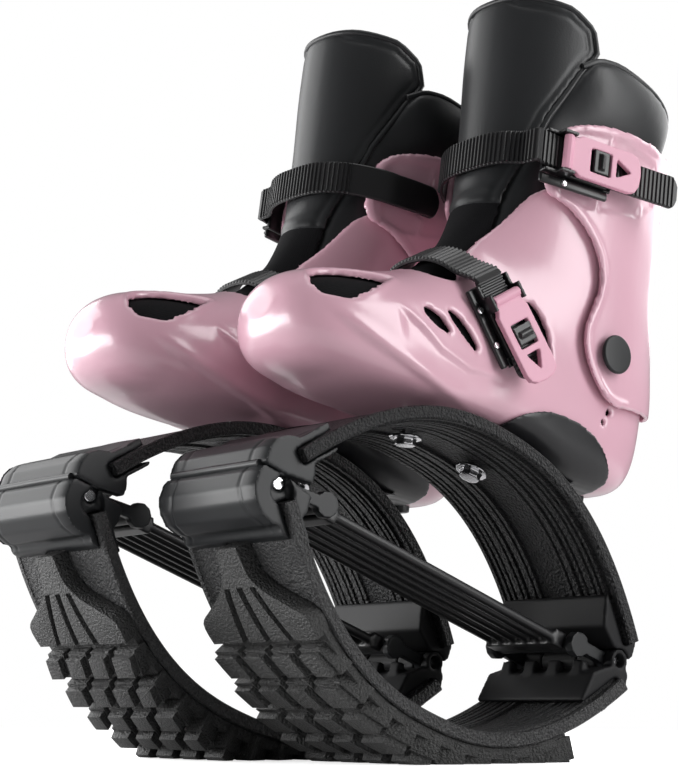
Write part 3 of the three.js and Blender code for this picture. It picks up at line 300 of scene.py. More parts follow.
# %% Cutting, joining and softening
def cut(obj, tool, operation="DIFFERENCE"):
    modifier = obj.modifiers.new("cut", "BOOLEAN")
    modifier.operation = operation
    modifier.object = tool
    modifier.solver = "EXACT"
    apply_modifiers(obj)
    bpy.data.objects.remove(tool)
    return obj

def trim(obj, outline, *span):
    """Keeps only what lies within a side-view outline."""
    return cut(obj, plate("outline", outline, *span), "INTERSECT")

def join(name, *objects):
    pick(*objects)
    bpy.ops.object.join()
    objects[0].name = name
    return objects[0]

def relax(obj, passes):
    smooth = obj.modifiers.new("relax", "SMOOTH")
    smooth.factor = 0.5
    smooth.iterations = passes
    return apply_modifiers(obj)

def soften(obj, voxel, passes):
    """Remeshes a sharp-edged body and relaxes it, which rounds its edges as a mould does."""
    remesh = obj.modifiers.new("remesh", "REMESH")
    remesh.mode = "VOXEL"
    remesh.voxel_size = voxel * mm
    return relax(obj, passes)

# %% Copies of the frame's nodes, and beads
def copy_of_node(node):
    """A separate, merged copy of a CAD node of the left shoe, to be finished as a piece."""
    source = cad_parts["left_" + node]
    mesh = source.data.copy()
    mesh.materials.clear()
    mesh.transform(source.matrix_world)
    merge(mesh, NODE_MERGE, False)
    return add_object(node, mesh)

def tube(name, points, radius):
    """A round bead along points, made as a curve and turned into a mesh."""
    curve = bpy.data.curves.new(name, "CURVE")
    curve.dimensions = "3D"
    curve.bevel_depth = radius * mm
    curve.bevel_resolution = 2
    curve.use_fill_caps = True
    spline = curve.splines.new("POLY")
    spline.points.add(len(points) - 1)
    for point, place in zip(spline.points, points):
        point.co = (*(c * mm for c in place), 1)
    pick(add_object(name, curve))
    bpy.ops.object.convert(target="MESH")
    bead = bpy.context.object
    merge(bead.data, MERGE, True)
    return bead

# %% [markdown]
# Mould details such as ledges, seams and panels are too fine to model one by one. Each is a height
# over the surface, written as a function of the place, that moves the vertices along their normals.
# Numpy works on all the vertices at once, so a dense mesh takes no longer than a moment.

# %% Relief helpers
RELIEF_PASSES = 2

def near_path(points, path, closed=False):
    """How far each 2D point lies from a line through the path's points."""
    corners = [np.array(p, float) for p in path]
    best = np.full(len(points), 1e9)
    for a, b in zip(corners, corners[1:] + (corners[:1] if closed else [])):
        step = b - a
        share = np.clip(((points - a) @ step) / max(step @ step, 1e-9), 0, 1)
        best = np.minimum(best, np.hypot(*(points - a - share[:, None] * step).T))
    return best

def is_inside(points, outline):
    """Whether each 2D point lies in a closed outline."""
    inside = np.zeros(len(points), bool)
    x, y = points[:, 0], points[:, 1]
    for (ax, ay), (bx, by) in zip(outline, outline[1:] + outline[:1]):
        if ay != by:
            inside ^= ((ay > y) != (by > y)) & (x < ax + (y - ay) * (bx - ax) / (by - ay))
    return inside

def ramp_up(values, start, end):
    """0 before start, 1 after end and a smooth step between."""
    f = np.clip((values - start) / (end - start), 0, 1)
    return f * f * (3 - 2 * f)

def groove(distance, width):
    return np.exp(-((distance / width) ** 2))

def relief(obj, height, frame_matrix=Matrix()):
    """Moves vertices along their normals by height(points, normals), in mm, and relaxes them."""
    mesh = obj.data
    mesh.transform(frame_matrix.inverted())
    points = np.empty(len(mesh.vertices) * 3)
    normals = np.empty(len(mesh.vertices) * 3)
    mesh.vertices.foreach_get("co", points)
    mesh.vertex_normals.foreach_get("vector", normals)
    points, normals = points.reshape(-1, 3), normals.reshape(-1, 3)
    moved = points + normals * height(points / mm, normals)[:, None] * mm
    mesh.vertices.foreach_set("co", moved.ravel())
    mesh.update()
    mesh.transform(frame_matrix)
    return relax(obj, RELIEF_PASSES)

# %% [markdown]
# Surface effects that several finishes share are node groups. Grain is a fine noise for moulded
# plastic and rubber, with broad patches beside it, and weave is two crossed waves. They read Object
# coordinates, so that a pattern keeps its size on every piece.

# %% Shared surface effects
def node_group(name, inputs, outputs):
    tree = bpy.data.node_groups.new(name, "ShaderNodeTree")
    for title, value in inputs.items():
        socket = tree.interface.new_socket(title, in_out="INPUT", socket_type="NodeSocketFloat")
        socket.default_value = value
    for title in outputs:
        tree.interface.new_socket(title, in_out="OUTPUT", socket_type="NodeSocketFloat")
    place = add_node(tree, "TexCoord").outputs["Object"]
    return tree, tree.nodes.new("NodeGroupInput").outputs, tree.nodes.new("NodeGroupOutput"), place

def build_grain():
    tree, given, result, place = node_group(
        "grain", {"Scale": 400, "Detail": 3, "Patches": 12}, ("Height", "Patch"))
    noise = {"Vector": place, "Scale": given["Scale"], "Detail": given["Detail"]}
    patches = {"Vector": place, "Scale": given["Patches"], "Detail": 4}
    plug(tree, result, {
        "Height": add_node(tree, "TexNoise", noise).outputs["Fac"],
        "Patch": add_node(tree, "TexNoise", patches).outputs["Fac"],
    })
    return tree

def build_weave():
    tree, given, result, place = node_group("weave", {"Scale": 300}, ("Height",))
    waves = {}
    for i, axis in enumerate(("X", "Z")):
        wave = add_node(tree, "TexWave", {"Vector": place, "Scale": given["Scale"]}, bands_direction=axis)
        waves[i] = wave.outputs["Fac"]
    both = add_node(tree, "Math", waves, operation="MULTIPLY")
    plug(tree, result, {"Height": both.outputs[0]})
    return tree

grain = build_grain()
weave = build_weave()

# %% [markdown]
# Every finish is a Principled material whose colour and roughness drift between two values in the
# grain's patches, and whose bump is the grain's height or, on the knit, the weave's. The shells are
# glossy pale pink under a clear coat, the liner black synthetic leather and dull neoprene, the
# springs grainy, the lower leaf's colour painted lighter as a painted sheen of the lamps on it, the
# end caps satin and the tread speckled.

# %% Materials
FINISHES = {
    # name: slot, colour, deep colour, roughness, its spread and what differs from the plain finish
    "glossy_pink": ("shell_pink", (0.74, 0.44, 0.53), (0.70, 0.40, 0.49), 0.30, 0.03,
                    dict(scale=900, bump=0.02, shine={"Coat Weight": 0.7, "Coat Roughness": 0.16})),
    "lever_pink": ("lever_pink", (0.74, 0.38, 0.49), (0.70, 0.34, 0.45), 0.42, 0.03,
                   dict(scale=900, bump=0.02)),
    "black_leather": ("lining", (0.013, 0.014, 0.016), (0.008, 0.009, 0.010), 0.40, 0.05,
                      dict(scale=900, bump=0.18, distance=0.0003,
                           shine={"Sheen Weight": 0.1, "Specular IOR Level": 0.45})),
    "black_neoprene": ("lining", (0.006, 0.006, 0.007), (0.004, 0.004, 0.005), 0.85, 0.03,
                       dict(bump=0.4, distance=0.0003, group=weave, shine={"Specular IOR Level": 0.15})),
    "strap_plastic": ("strap", (0.010, 0.010, 0.011), (0.006, 0.006, 0.007), 0.38, 0.05,
                      dict(scale=1500)),
    "buckle_plastic": ("cap_black", (0.007, 0.007, 0.008), (0.004, 0.004, 0.005), 0.30, 0.05,
                       dict(scale=1200, bump=0.08)),
    "grainy_leaf": ("leaf", (0.010, 0.010, 0.011), (0.005, 0.005, 0.006), 0.38, 0.08,
                    dict(scale=600, bump=1.0, distance=0.003, shine={"Specular IOR Level": 0.4})),
    # painted sheen: the lower leaf is the same black plastic, its colour raised to stand in for lamp light
    # glancing off its grainy face
    "sheen_painted_leaf": ("leaf", (0.042, 0.042, 0.043), (0.018, 0.018, 0.019), 0.36, 0.08,
                   dict(scale=600, bump=1.0, distance=0.003)),
    "satin_cap": ("cap_black", (0.018, 0.019, 0.021), (0.010, 0.011, 0.012), 0.42, 0.06,
                  dict(scale=1500, shine={"Specular IOR Level": 0.35})),
    "rear_cap": ("cap_black", (0.008, 0.008, 0.009), (0.005, 0.005, 0.006), 0.55, 0.06,
                 dict(scale=1500, shine={"Specular IOR Level": 0.25})),
    "tread_rubber": ("tread_rubber", (0.048, 0.048, 0.047), (0.022, 0.022, 0.023), 0.46, 0.10,
                     dict(scale=700, bump=1.0, distance=0.002)),
    "mount_rubber": ("mount_rubber", (0.010, 0.010, 0.012), (0.006, 0.006, 0.008), 0.34, 0.06,
                     dict(scale=1400)),
    "spring_rubber": ("spring_rubber", (0.012, 0.012, 0.013), (0.007, 0.007, 0.008), 0.38, 0.05,
                      dict(scale=1400)),
    "bright_steel": ("steel", (0.72, 0.72, 0.74), (0.60, 0.60, 0.62), 0.20, 0.06,
                     dict(scale=2500, bump=0.05, shine={"Metallic": 1})),
}

def build_finish(name, colour, deep, roughness, spread, scale=400, bump=0.1, distance=0.0002,
                 group=None, shine={}):
    material = bpy.data.materials.new(name)
    material.use_nodes = True
    tree = material.node_tree
    texture = add_node(tree, "Group", node_tree=grain)
    texture.inputs["Scale"].default_value = scale
    patch = texture.outputs["Patch"]
    tints = {"Factor": patch, "A": (*deep, 1), "B": (*colour, 1)}
    tint = add_node(tree, "Mix", tints, data_type="RGBA")
    polish = {"Value": patch, "To Min": roughness - spread, "To Max": roughness + spread}
    surface = add_node(tree, "Group", node_tree=group) if group else texture
    bumps = {"Height": surface.outputs["Height"], "Strength": bump, "Distance": distance}
    plug(tree, tree.nodes["Principled BSDF"], {
        "Base Color": tint.outputs["Result"],
        "Roughness": add_node(tree, "MapRange", polish).outputs["Result"],
        "Normal": add_node(tree, "Bump", bumps).outputs["Normal"],
        **shine,
    })
    return material

materials = {name: build_finish(name, *row[1:5], **row[5]) for name, row in FINISHES.items()}
print(len(materials), "finishes")

# %% [markdown]
# Every finished piece is registered with its body, its material and the CAD node it stands for.
# The right shoe's pieces are later mirrored copies, each with its own mesh.

# %% Registering a piece
finished = []

def finish_piece(obj, name, body, finish, node, place=None, angle=40, second=None, **ties):
    """Dresses a left-shoe piece, moves it into the row frame and notes what it belongs to."""
    obj.name = "left_" + name
    obj.data.materials.clear()
    obj.data.materials.append(materials[finish])
    if second:
        second_finish, test = second
        obj.data.materials.append(materials[second_finish])
        for face in obj.data.polygons:
            face.material_index = int(test(face.center / mm))
    if place is not None:
        obj.data.transform(place)
    pick(obj)
    bpy.ops.object.shade_smooth_by_angle(angle=math.radians(angle))
    replaces = ["left_" + node] if node else []
    slot = FINISHES[finish][0]
    finished.append(dict(obj=obj, name=obj.name, body=body, replaces=replaces, slot=slot, **ties))
    print(obj.name, len(obj.data.polygons), "faces")

# %% [markdown]
# The boot's form is a row of sections from the toe, round the heel and up the shaft. Each section
# is a squared-off oval between a front and a rear point of the side view. The table follows the
# CAD's shares with a slimmer toe and a lower heel, as in the photograph. Between its rows the values
# follow a smooth curve, so the surface has no facets.

# %% The boot's form
BOOT_LENGTH = 296
BOOT_HEIGHT = 272
BOOT_HALF_WIDTH = 52
SECTION_SHARES = [
    # front point and rear point (along, up), half width, widest place, squareness front and rear
    (-0.520, 0.150, -0.520, 0.108, 0.22, 0.5, 2.1, 2.1),
    (-0.508, 0.187, -0.508, 0.067, 0.46, 0.5, 2.1, 2.2),
    (-0.474, 0.22, -0.480, 0.035, 0.68, 0.54, 2.2, 2.5),
    (-0.406, 0.246, -0.422, 0.013, 0.86, 0.6, 2.2, 3.0),
    (-0.321, 0.27, -0.338, 0.002, 0.96, 0.63, 2.2, 3.5),
    (-0.243, 0.298, -0.236, 0, 1, 0.64, 2.2, 4),
    (-0.193, 0.331, -0.101, 0, 0.96, 0.62, 2.2, 4),
    (-0.162, 0.36, 0.051, -0.006, 0.89, 0.6, 2.2, 4),
    (-0.139, 0.39, 0.22, -0.044, 0.83, 0.58, 2.2, 3.6),
    (-0.122, 0.415, 0.372, -0.043, 0.79, 0.56, 2.2, 3),
    (-0.108, 0.438, 0.448, 0.015, 0.77, 0.54, 2.2, 2.5),
    (-0.098, 0.463, 0.473, 0.154, 0.77, 0.52, 2.2, 2.3),
    (-0.088, 0.489, 0.463, 0.276, 0.8, 0.51, 2.2, 2.2),
    (-0.074, 0.533, 0.439, 0.423, 0.86, 0.5, 2.2, 2.2),
    (-0.064, 0.588, 0.436, 0.588, 0.92, 0.5, 2.3, 2.2),
    (-0.064, 0.735, 0.443, 0.735, 0.96, 0.5, 2.3, 2.2),
    (-0.068, 0.882, 0.459, 0.882, 1.02, 0.5, 2.3, 2.2),
    (-0.068, 1, 0.463, 1, 1.04, 0.5, 2.3, 2.2),
    (-0.066, 1.1, 0.466, 1.1, 1.05, 0.5, 2.3, 2.2),
]
RINGS_PER_ROW = 5
RING_POINTS = 72
TOE_ROWS = 3
INSIDE_LIFT = 6
CORNER_STEPS = 4

# %% Smooth rows and curves
def catmull_rom(a, b, c, d, f):
    """The value at share f of the way from b to c, on a smooth curve."""
    bend = (2 * a - 5 * b + 4 * c - d) * f * f
    return 0.5 * (2 * b + (c - a) * f + bend + (3 * b - a - 3 * c + d) * f ** 3)

def around(rows, k):
    """A row and its neighbours: the one before, itself and two after, as far as there are any."""
    return [rows[max(0, min(k + d, len(rows) - 1))] for d in (-1, 0, 1, 2)]

def smooth_row(t):
    k = max(0, min(int(t), len(SECTION_SHARES) - 2))
    return [catmull_rom(*column, t - k) for column in zip(*around(SECTION_SHARES, k))]

def curve_through(points, steps=3):
    """A few points on a smooth curve through the given ones."""
    out = []
    for i in range(len(points) - 1):
        places = [Vector(p) for p in around(points, i)]
        out += [tuple(catmull_rom(*places, k / steps)) for k in range(steps)]
    return out + [tuple(points[-1])]

# %% Rings and bodies of the boot
def oval_point(row, length, angle, growth, rear_growth, swell=0):
    """A point of a section's outline in its own plane: x across, and along from its front point."""
    half, widest, front_power, rear_power = row[4:]
    middle = widest * length
    x, y = math.sin(angle), math.cos(angle)
    power = front_power if y >= 0 else rear_power
    reach = middle + growth if y >= 0 else length - middle + rear_growth
    x = math.copysign(abs(x) ** (2 / power), x) * (half * BOOT_HALF_WIDTH + growth + swell)
    return x, middle - math.copysign(abs(y) ** (2 / power), y) * (reach + swell)

def ring_angles():
    return [2 * math.pi * j / RING_POINTS for j in range(RING_POINTS)]

def section_ring(t, growth, rear_growth=None, lift=0, swell=None, angles=None):
    """The ring of a section at t, grown outwards, with more growth at the rear if asked."""
    row = smooth_row(t)
    front = Vector((row[0] * BOOT_LENGTH, row[1] * BOOT_HEIGHT))
    across = Vector((row[2] * BOOT_LENGTH, row[3] * BOOT_HEIGHT)) - front
    rear_growth = growth if rear_growth is None else rear_growth
    toe_shift = -growth * max(0, 1 - t / TOE_ROWS)
    ring = []
    for angle in angles or ring_angles():
        extra = swell(t, angle) if swell else 0
        x, along = oval_point(row, across.length, angle, growth, rear_growth, extra)
        p = front + across.normalized() * along
        ring.append((x, p.x + toe_shift, p.y + lift))
    return ring

def boot_body(name, growth, first, last, rear_growth=None, lift=0, swell=None):
    """The boot's form from one row to another, its last ring lifted if asked."""
    count = (last - first) * RINGS_PER_ROW
    rings = []
    for i in range(int(count) + 1):
        t = first + (last - first) * i / int(count)
        rings.append(section_ring(t, growth, rear_growth, lift if i == int(count) else 0, swell))
    return skin(name, rings)

def hollow(obj, growth, first, last, rear_growth=None):
    """Cuts the boot's form out of a body, right through its top."""
    return cut(obj, boot_body("inside", growth, first, last, rear_growth, INSIDE_LIFT))

def side_points(shares):
    return [(u * BOOT_LENGTH, w * BOOT_HEIGHT) for u, w in shares]

def rounded(points):
    """A polygon with its corners cut by quadratic curves between edge middles."""
    out = []
    for i in range(len(points)):
        a, b, c = (Vector(points[(i + d) % len(points)]) for d in (-1, 0, 1))
        start, end = (a + b) / 2, (b + c) / 2
        for k in range(CORNER_STEPS):
            f = k / CORNER_STEPS
            out.append(tuple(start * (1 - f) ** 2 + b * 2 * f * (1 - f) + end * f * f))
    return out

# %% [markdown]
# The lower shell is moulded in one piece. The outside and the inside are two bodies, one 4 mm
# inside the other, and the difference is the wall. The throat, the toe vents and the side slits
# are cut through it, and a short remesh and relax rounds every rim as the mould does. The ledge and
# the tucked-in underside are shallow steps, so they are relief.

# %% Lower shell
WALL = 4
SHELL_TOP = 14
SHELL_VOXEL = 1.6
THROAT_SHARES = [
    (-0.216, 0.283), (-0.139, 0.283), (-0.128, 0.338), (-0.088, 0.386), (-0.06, 0.425), (-0.027, 0.467),
    (0.0, 0.515), (0.02, 0.55), (0.06, 0.58), (0.13, 0.56), (0.2, 0.48), (0.27, 0.40), (0.34, 0.342),
    (0.54, 0.312), (0.54, 0.9), (-0.33, 0.9), (-0.236, 0.36),
]
SLITS_SHARES = [((-0.257, 0.184), (-0.193, 0.151)), ((-0.193, 0.199), (-0.115, 0.136))]
SLOT_SHARES = [(0.036, 0.301), (0.081, 0.25), (0.098, 0.176)]
HEEL_SLITS = [[(80, 21), (83, 29), (89, 37)], [(94, 42), (99, 46), (106, 49)]]
SLIT_WIDTH = 7
HEEL_SLIT_WIDTH = 3
SLIT_INNER_X = 25
SLIT_END_SHARE = 0.45

def side_slit(points, width, side):
    """A tapered slot through one side wall along a few side-view points."""
    left, right = [], []
    last = len(points) - 1
    for i, p in enumerate(points):
        step = Vector(points[min(i + 1, last)]) - Vector(points[max(i - 1, 0)])
        normal = Vector((-step.y, step.x)).normalized()
        half = width / 2 * (SLIT_END_SHARE if i in (0, last) else 1)
        left.append(tuple(Vector(p) + normal * half))
        right.append(tuple(Vector(p) - normal * half))
    span = (SLIT_INNER_X, THROUGH) if side > 0 else (-THROUGH, -SLIT_INNER_X)
    return plate("slit", left + right[::-1], *span)

def long_slit(ends):
    a, b = (Vector(p) for p in side_points(ends))
    return [tuple(a.lerp(b, f)) for f in (0, 0.25, 0.6, 1)]

# %% Toe vents
VENT_NOSE, VENT_TAIL = -141, -91
VENT_HALF_WIDTH = 11
VENT_MIDDLE = 28
VENT_SPLAY = 4
VENT_POINTS = 28
VENT_CUT = (42, 110)

def toe_vent_points(side):
    """A teardrop in plan view, wide at the nose and pointed at the tail."""
    outline = []
    for k in range(VENT_POINTS):
        f = k / VENT_POINTS * 2 * math.pi
        along = (1 - math.cos(f)) / 2
        width = VENT_HALF_WIDTH * math.sin(f) * (1 - along) ** 0.55 * 1.5
        x = VENT_MIDDLE * side + width + side * along * VENT_SPLAY
        outline.append((x, VENT_NOSE + along * (VENT_TAIL - VENT_NOSE)))
    return outline

def toe_vent(side):
    return skin("vent", [[(x, y, z) for x, y in toe_vent_points(side)] for z in VENT_CUT])

# %% Which way a surface faces
FOOT_MIDDLE = (-105, 100)
FOOT_HEIGHT = 45
SHAFT_MIDDLE = 60
SHAFT_FROM = 110
FACING = (0.05, 0.45)

def faces_out(points, normals):
    """How far a vertex faces out, from 0 to 1: its normal leaves the boot's middle line."""
    on_shaft = points[:, 2] > SHAFT_FROM
    middle = np.column_stack([
        np.zeros(len(points)),
        np.where(on_shaft, SHAFT_MIDDLE, np.clip(points[:, 1], *FOOT_MIDDLE)),
        np.where(on_shaft, points[:, 2], FOOT_HEIGHT),
    ])
    away = points - middle
    facing = np.sum(away * normals, axis=1) / np.maximum(np.linalg.norm(away, axis=1), 1e-6)
    return ramp_up(facing, *FACING)

# %% Relief of the shell
LEDGE = [(-107, 46), (-95, 46), (-80, 38), (-63, 28), (-39, 23), (-16, 26)]
LEDGE_DEPTH = 1.5
LEDGE_LIP = 0.6
LEDGE_FRONT, LEDGE_BACK = (-96, -86), (-24, 0)
CHINE = [(-150, 42), (-135, 34), (-120, 27), (-101, 20), (-78, 13), (-53, 8), (-30, 5)]
CHINE_DEPTH = 2.6
CHINE_LIP = 1.2
CHINE_FRONT, CHINE_BACK = (-142, -112), (-50, -25)
VENT_RIM = 0.8

def shell_relief(points, normals):
    """A ledge on the side, a chine over the tucked-in underside and rims round the vents."""
    u, w = points[:, 1], points[:, 2]
    below = np.interp(u, *zip(*LEDGE)) - w
    fade = ramp_up(u, *LEDGE_FRONT) * (1 - ramp_up(u, *LEDGE_BACK))
    height = -LEDGE_DEPTH * ramp_up(below, -0.8, 1.2) * (1 - ramp_up(below, 5, 22)) * fade
    height += LEDGE_LIP * groove(below + 2.5, 2) * fade
    under = np.interp(u, *zip(*CHINE)) - w
    fade = ramp_up(u, *CHINE_FRONT) * (1 - ramp_up(u, *CHINE_BACK))
    height += (CHINE_LIP * groove(under + 1.5, 4) - CHINE_DEPTH * ramp_up(under, -0.5, 4)) * fade
    for side in (-1, 1):
        rim = near_path(points[:, :2], toe_vent_points(side), closed=True)
        height += VENT_RIM * groove(rim - 2.8, 1.8) * ramp_up(w, 44, 52)
    return height * faces_out(points, normals)

# %% The shell
def build_shell():
    shell = hollow(boot_body("shell", 0, 0, SHELL_TOP), -WALL, 0, SHELL_TOP)
    cut(shell, plate("throat", rounded(side_points(THROAT_SHARES))))
    slits = [(long_slit(ends), SLIT_WIDTH) for ends in SLITS_SHARES]
    slits.append((curve_through(side_points(SLOT_SHARES)), SLIT_WIDTH))
    slits += [(curve_through(slit), HEEL_SLIT_WIDTH) for slit in HEEL_SLITS]
    for side in (-1, 1):
        cut(shell, toe_vent(side))
        for points, width in slits:
            cut(shell, side_slit(points, width, side))
    return relief(soften(shell, SHELL_VOXEL, 4), shell_relief)

finish_piece(build_shell(), "moulded_shell", "left_boot", "glossy_pink", "shell", BOOT, 60)

# %% [markdown]
# The cuff wraps the ankle from behind and swings on two rivets. It is made as the shell is, one
# wall outside the other, and trimmed to its scalloped outline in the side view.

# %% Cuff
CUFF_GAP = 1.8
CUFF_REAR_GAP = 2.6
CUFF_WALL = 3.5
CUFF_ROWS = (7, 16)
CUFF_SHARES = [
    (0.02, 0.551), (0.027, 0.669), (0.054, 0.71), (0.101, 0.732), (0.169, 0.75), (0.253, 0.757),
    (0.6, 0.779), (0.6, 0.176), (0.338, 0.14), (0.27, 0.129), (0.209, 0.184), (0.182, 0.239),
    (0.179, 0.287), (0.196, 0.338), (0.206, 0.39), (0.189, 0.449), (0.145, 0.496), (0.084, 0.537),
]
CUFF_RIM = 5.5
CUFF_RIM_HEIGHT = 1.2
RIM_ENDS = (88, 104)
CUFF_PANEL = [
    (16, 148), (14, 186), (24, 195), (60, 199), (96, 197), (100, 170), (84, 156), (58, 150), (36, 146),
]
PANEL_DEPTH = 1.6
CUFF_FOLD = [(118, 208), (117, 180), (120, 150), (124, 120)]
FOLD_DEPTH = 1.5
GUSSETS = [((50, 184), (52, 206)), ((44, 138), (46, 158)), ((82, 150), (86, 164))]

def cuff_relief(points, normals):
    """A raised rim, a shallow panel for the buckle with its gussets, and the fold at the rear."""
    side_view = points[:, 1:]
    edge = near_path(side_view, rounded(side_points(CUFF_SHARES)), closed=True)
    rim = 1 - ramp_up(edge, CUFF_RIM - 2, CUFF_RIM)
    height = CUFF_RIM_HEIGHT * rim * (1 - ramp_up(points[:, 1], *RIM_ENDS))
    panel = near_path(side_view, CUFF_PANEL, closed=True)
    depth = ramp_up(panel, 0, 2.5) * is_inside(side_view, CUFF_PANEL)
    for gusset in GUSSETS:
        depth = depth * (1 - groove(near_path(side_view, gusset), 1.6))
    height -= PANEL_DEPTH * depth
    height -= FOLD_DEPTH * groove(near_path(side_view, CUFF_FOLD), 1.2)
    return height * faces_out(points, normals)

def build_cuff():
    cuff = boot_body("cuff", CUFF_GAP + CUFF_WALL, *CUFF_ROWS, CUFF_REAR_GAP + CUFF_WALL)
    trim(cuff, rounded(side_points(CUFF_SHARES)))
    hollow(cuff, CUFF_GAP, *CUFF_ROWS, CUFF_REAR_GAP)
    return relief(soften(cuff, SHELL_VOXEL, 4), cuff_relief)

finish_piece(build_cuff(), "moulded_cuff", "left_cuff", "glossy_pink", "cuff", BOOT, 60)

# %% [markdown]
# The ankle rivets are low black domes on stems. Each is two bars along the pivot's axis, and a
# bevel with five steps turns the head's edge into a dome.

# %% Ankle rivets
ANKLE = (77, 66)
ANKLE_WIDTH_SHARE = 0.77
RIVET_GAP = 2.2
RIVET_RADIUS = 12
RIVET_RISE = 3
STEM_RADIUS = 5
STEM_LENGTH = 12
OVERRUN = 0.5

def build_rivet(side):
    surface = ANKLE_WIDTH_SHARE * BOOT_HALF_WIDTH + CUFF_GAP + CUFF_WALL + RIVET_GAP
    def bar(radius, start, end, *shape):
        return rod("rivet", radius, (side * start, *ANKLE), (side * end, *ANKLE), *shape)
    dome = bar(RIVET_RADIUS, surface, surface + RIVET_RISE, 64, 1.6, 5)
    return join("rivet", dome, bar(STEM_RADIUS, surface - STEM_LENGTH, surface + OVERRUN, 24))

for side, name in ((1, "outer"), (-1, "inner")):
    rivet = build_rivet(side)
    finish_piece(rivet, name + "_rivet_dome", "left_boot", "satin_cap", name + "_ankle_rivet", BOOT)

# %% [markdown]
# The liner is a padded inner boot. Its collar swells between two seams and rolls over at the top,
# and the tongue in front of it is a separate padded panel, leather above and neoprene below. Both
# are closed bodies that a remesh and many relaxing passes make soft, with a bound edge of piping.

# %% Liner and tongue
SOFT_GAP = 0.7
LINER_WALL = 9
LINER_TOP = 17
LINER_KNIT_HEIGHT = 120
TONGUE_WALL = 6
TONGUE_TOP = 17.7
COLLAR_SWELL = 7.5
COLLAR_ROLL = (15.05, 1.3)
COLLAR_FRONT = (0.95, 1.5)
COLLAR_BACK = (2.0, 2.9)
SEAM_HEIGHT = 142
STITCH_INSET = 6.5
TONGUE_PIPING = 2.0
COLLAR_PIPING = 2.2
TONGUE_EDGE_SHARES = [
    (-0.3, 0.3), (-0.125, 0.3), (-0.122, 0.345), (-0.035, 0.41), (-0.012, 0.55), (0.04, 0.74), (0.095, 0.865),
    (0.128, 0.92), (0.112, 0.975), (0.06, 1.01), (-0.02, 1.022), (-0.3, 1.022),
]
COLLAR_TOP_SHARES = [
    (-0.4, 0.8), (0.08, 0.87), (0.13, 0.905), (0.19, 0.915), (0.3, 0.895), (0.4, 0.87), (0.7, 0.83),
]

def collar_swell(t, angle):
    """The collar bulges over the cuff's top edge, everywhere but behind the tongue."""
    first, rows = COLLAR_ROLL
    up = math.sin(math.pi * max(0, min(1, (t - first) / rows))) ** 0.7
    turn = abs(math.remainder(angle, 2 * math.pi))
    return COLLAR_SWELL * up * float(ramp_up(turn, *COLLAR_FRONT) * (1 - 0.6 * ramp_up(turn, *COLLAR_BACK)))

def build_soft(name, top, wall, swell=None):
    body = boot_body(name, -WALL - SOFT_GAP, 0, top, swell=swell)
    return hollow(body, -WALL - SOFT_GAP - wall, 0, top)

def surface_point(t, angle, inset, swell=None):
    return section_ring(t, -WALL - SOFT_GAP - inset, swell=swell, angles=[angle])[0]

def edge_between(inner, outer, is_kept, steps=14):
    """Halves the way between a kept and a cut place until only the edge is left."""
    for _ in range(steps):
        middle = [(a + b) / 2 for a, b in zip(inner, outer)]
        if is_kept(*middle):
            inner = middle
        else:
            outer = middle
    return inner

# %% Bound edges
TONGUE_MIDDLE = 15.6
TONGUE_REACH = (2.2, 2.6)
TONGUE_TURNS = (-48, 276, 72)

def tongue_piping():
    """The bound edge: up one side of the tongue, over its top and down the other side."""
    first, sweep, steps = TONGUE_TURNS
    zone = side_points(TONGUE_EDGE_SHARES)
    def is_kept(angle, t):
        return bool(is_inside(np.array([surface_point(t, angle, 1)[1:]]), zone)[0])
    path = []
    for k in range(steps + 1):
        turn = math.radians(first + k * sweep / steps)
        outer = (TONGUE_REACH[0] * math.cos(turn), TONGUE_MIDDLE + TONGUE_REACH[1] * math.sin(turn))
        angle, t = edge_between((0, TONGUE_MIDDLE), outer, is_kept)
        path.append(surface_point(t, angle, 1))
    return tube("tongue_piping", path, TONGUE_PIPING)

COLLAR_FROM = 1.2
COLLAR_STEPS = 60
COLLAR_ROWS = (14.5, 17.5)

def collar_piping():
    """The bound edge over the collar, from one side of the tongue round the heel to the other."""
    top_line = list(zip(*side_points(COLLAR_TOP_SHARES)))
    path = []
    for k in range(COLLAR_STEPS + 1):
        angle = COLLAR_FROM + (2 * math.pi - 2 * COLLAR_FROM) * k / COLLAR_STEPS
        def is_kept(_, t):
            u, w = surface_point(t, angle, 2, collar_swell)[1:]
            return w < np.interp(u, *top_line)
        t = edge_between((0, COLLAR_ROWS[0]), (0, COLLAR_ROWS[1]), is_kept)[1]
        path.append(surface_point(t, angle, 2.5, collar_swell))
    return tube("collar_piping", path, COLLAR_PIPING)

# %% The liner and the tongue
def build_liner():
    liner = build_soft("liner", LINER_TOP, LINER_WALL, collar_swell)
    above = side_points(COLLAR_TOP_SHARES + [(0.7, 1.4), (-0.4, 1.4)])
    cut(liner, plate("collar_top", rounded(above)))
    cut(liner, plate("tongue_zone", side_points(TONGUE_EDGE_SHARES)))
    soften(liner, 2.3, 11)
    return join("liner", liner, collar_piping())

def tongue_relief(points, normals):
    """A sewn line inside the bound edge, and the seam between leather and neoprene."""
    w = points[:, 2]
    edge = near_path(points[:, 1:], side_points(TONGUE_EDGE_SHARES[3:-1]))
    height = -0.9 * groove(edge - STITCH_INSET, 1.1) * (w > SEAM_HEIGHT)
    height += 0.8 * groove(w - SEAM_HEIGHT - 5, 4) - 1.0 * groove(w - SEAM_HEIGHT, 1.2)
    return height * faces_out(points, normals)

def build_tongue():
    tongue = build_soft("tongue", TONGUE_TOP, TONGUE_WALL)
    zone = [(u - SOFT_GAP, w + SOFT_GAP) for u, w in side_points(TONGUE_EDGE_SHARES)]
    relief(soften(trim(tongue, zone), 1.5, 12), tongue_relief)
    return join("tongue", tongue, tongue_piping())

def knit_below(height):
    return "black_neoprene", lambda place: place.z < height

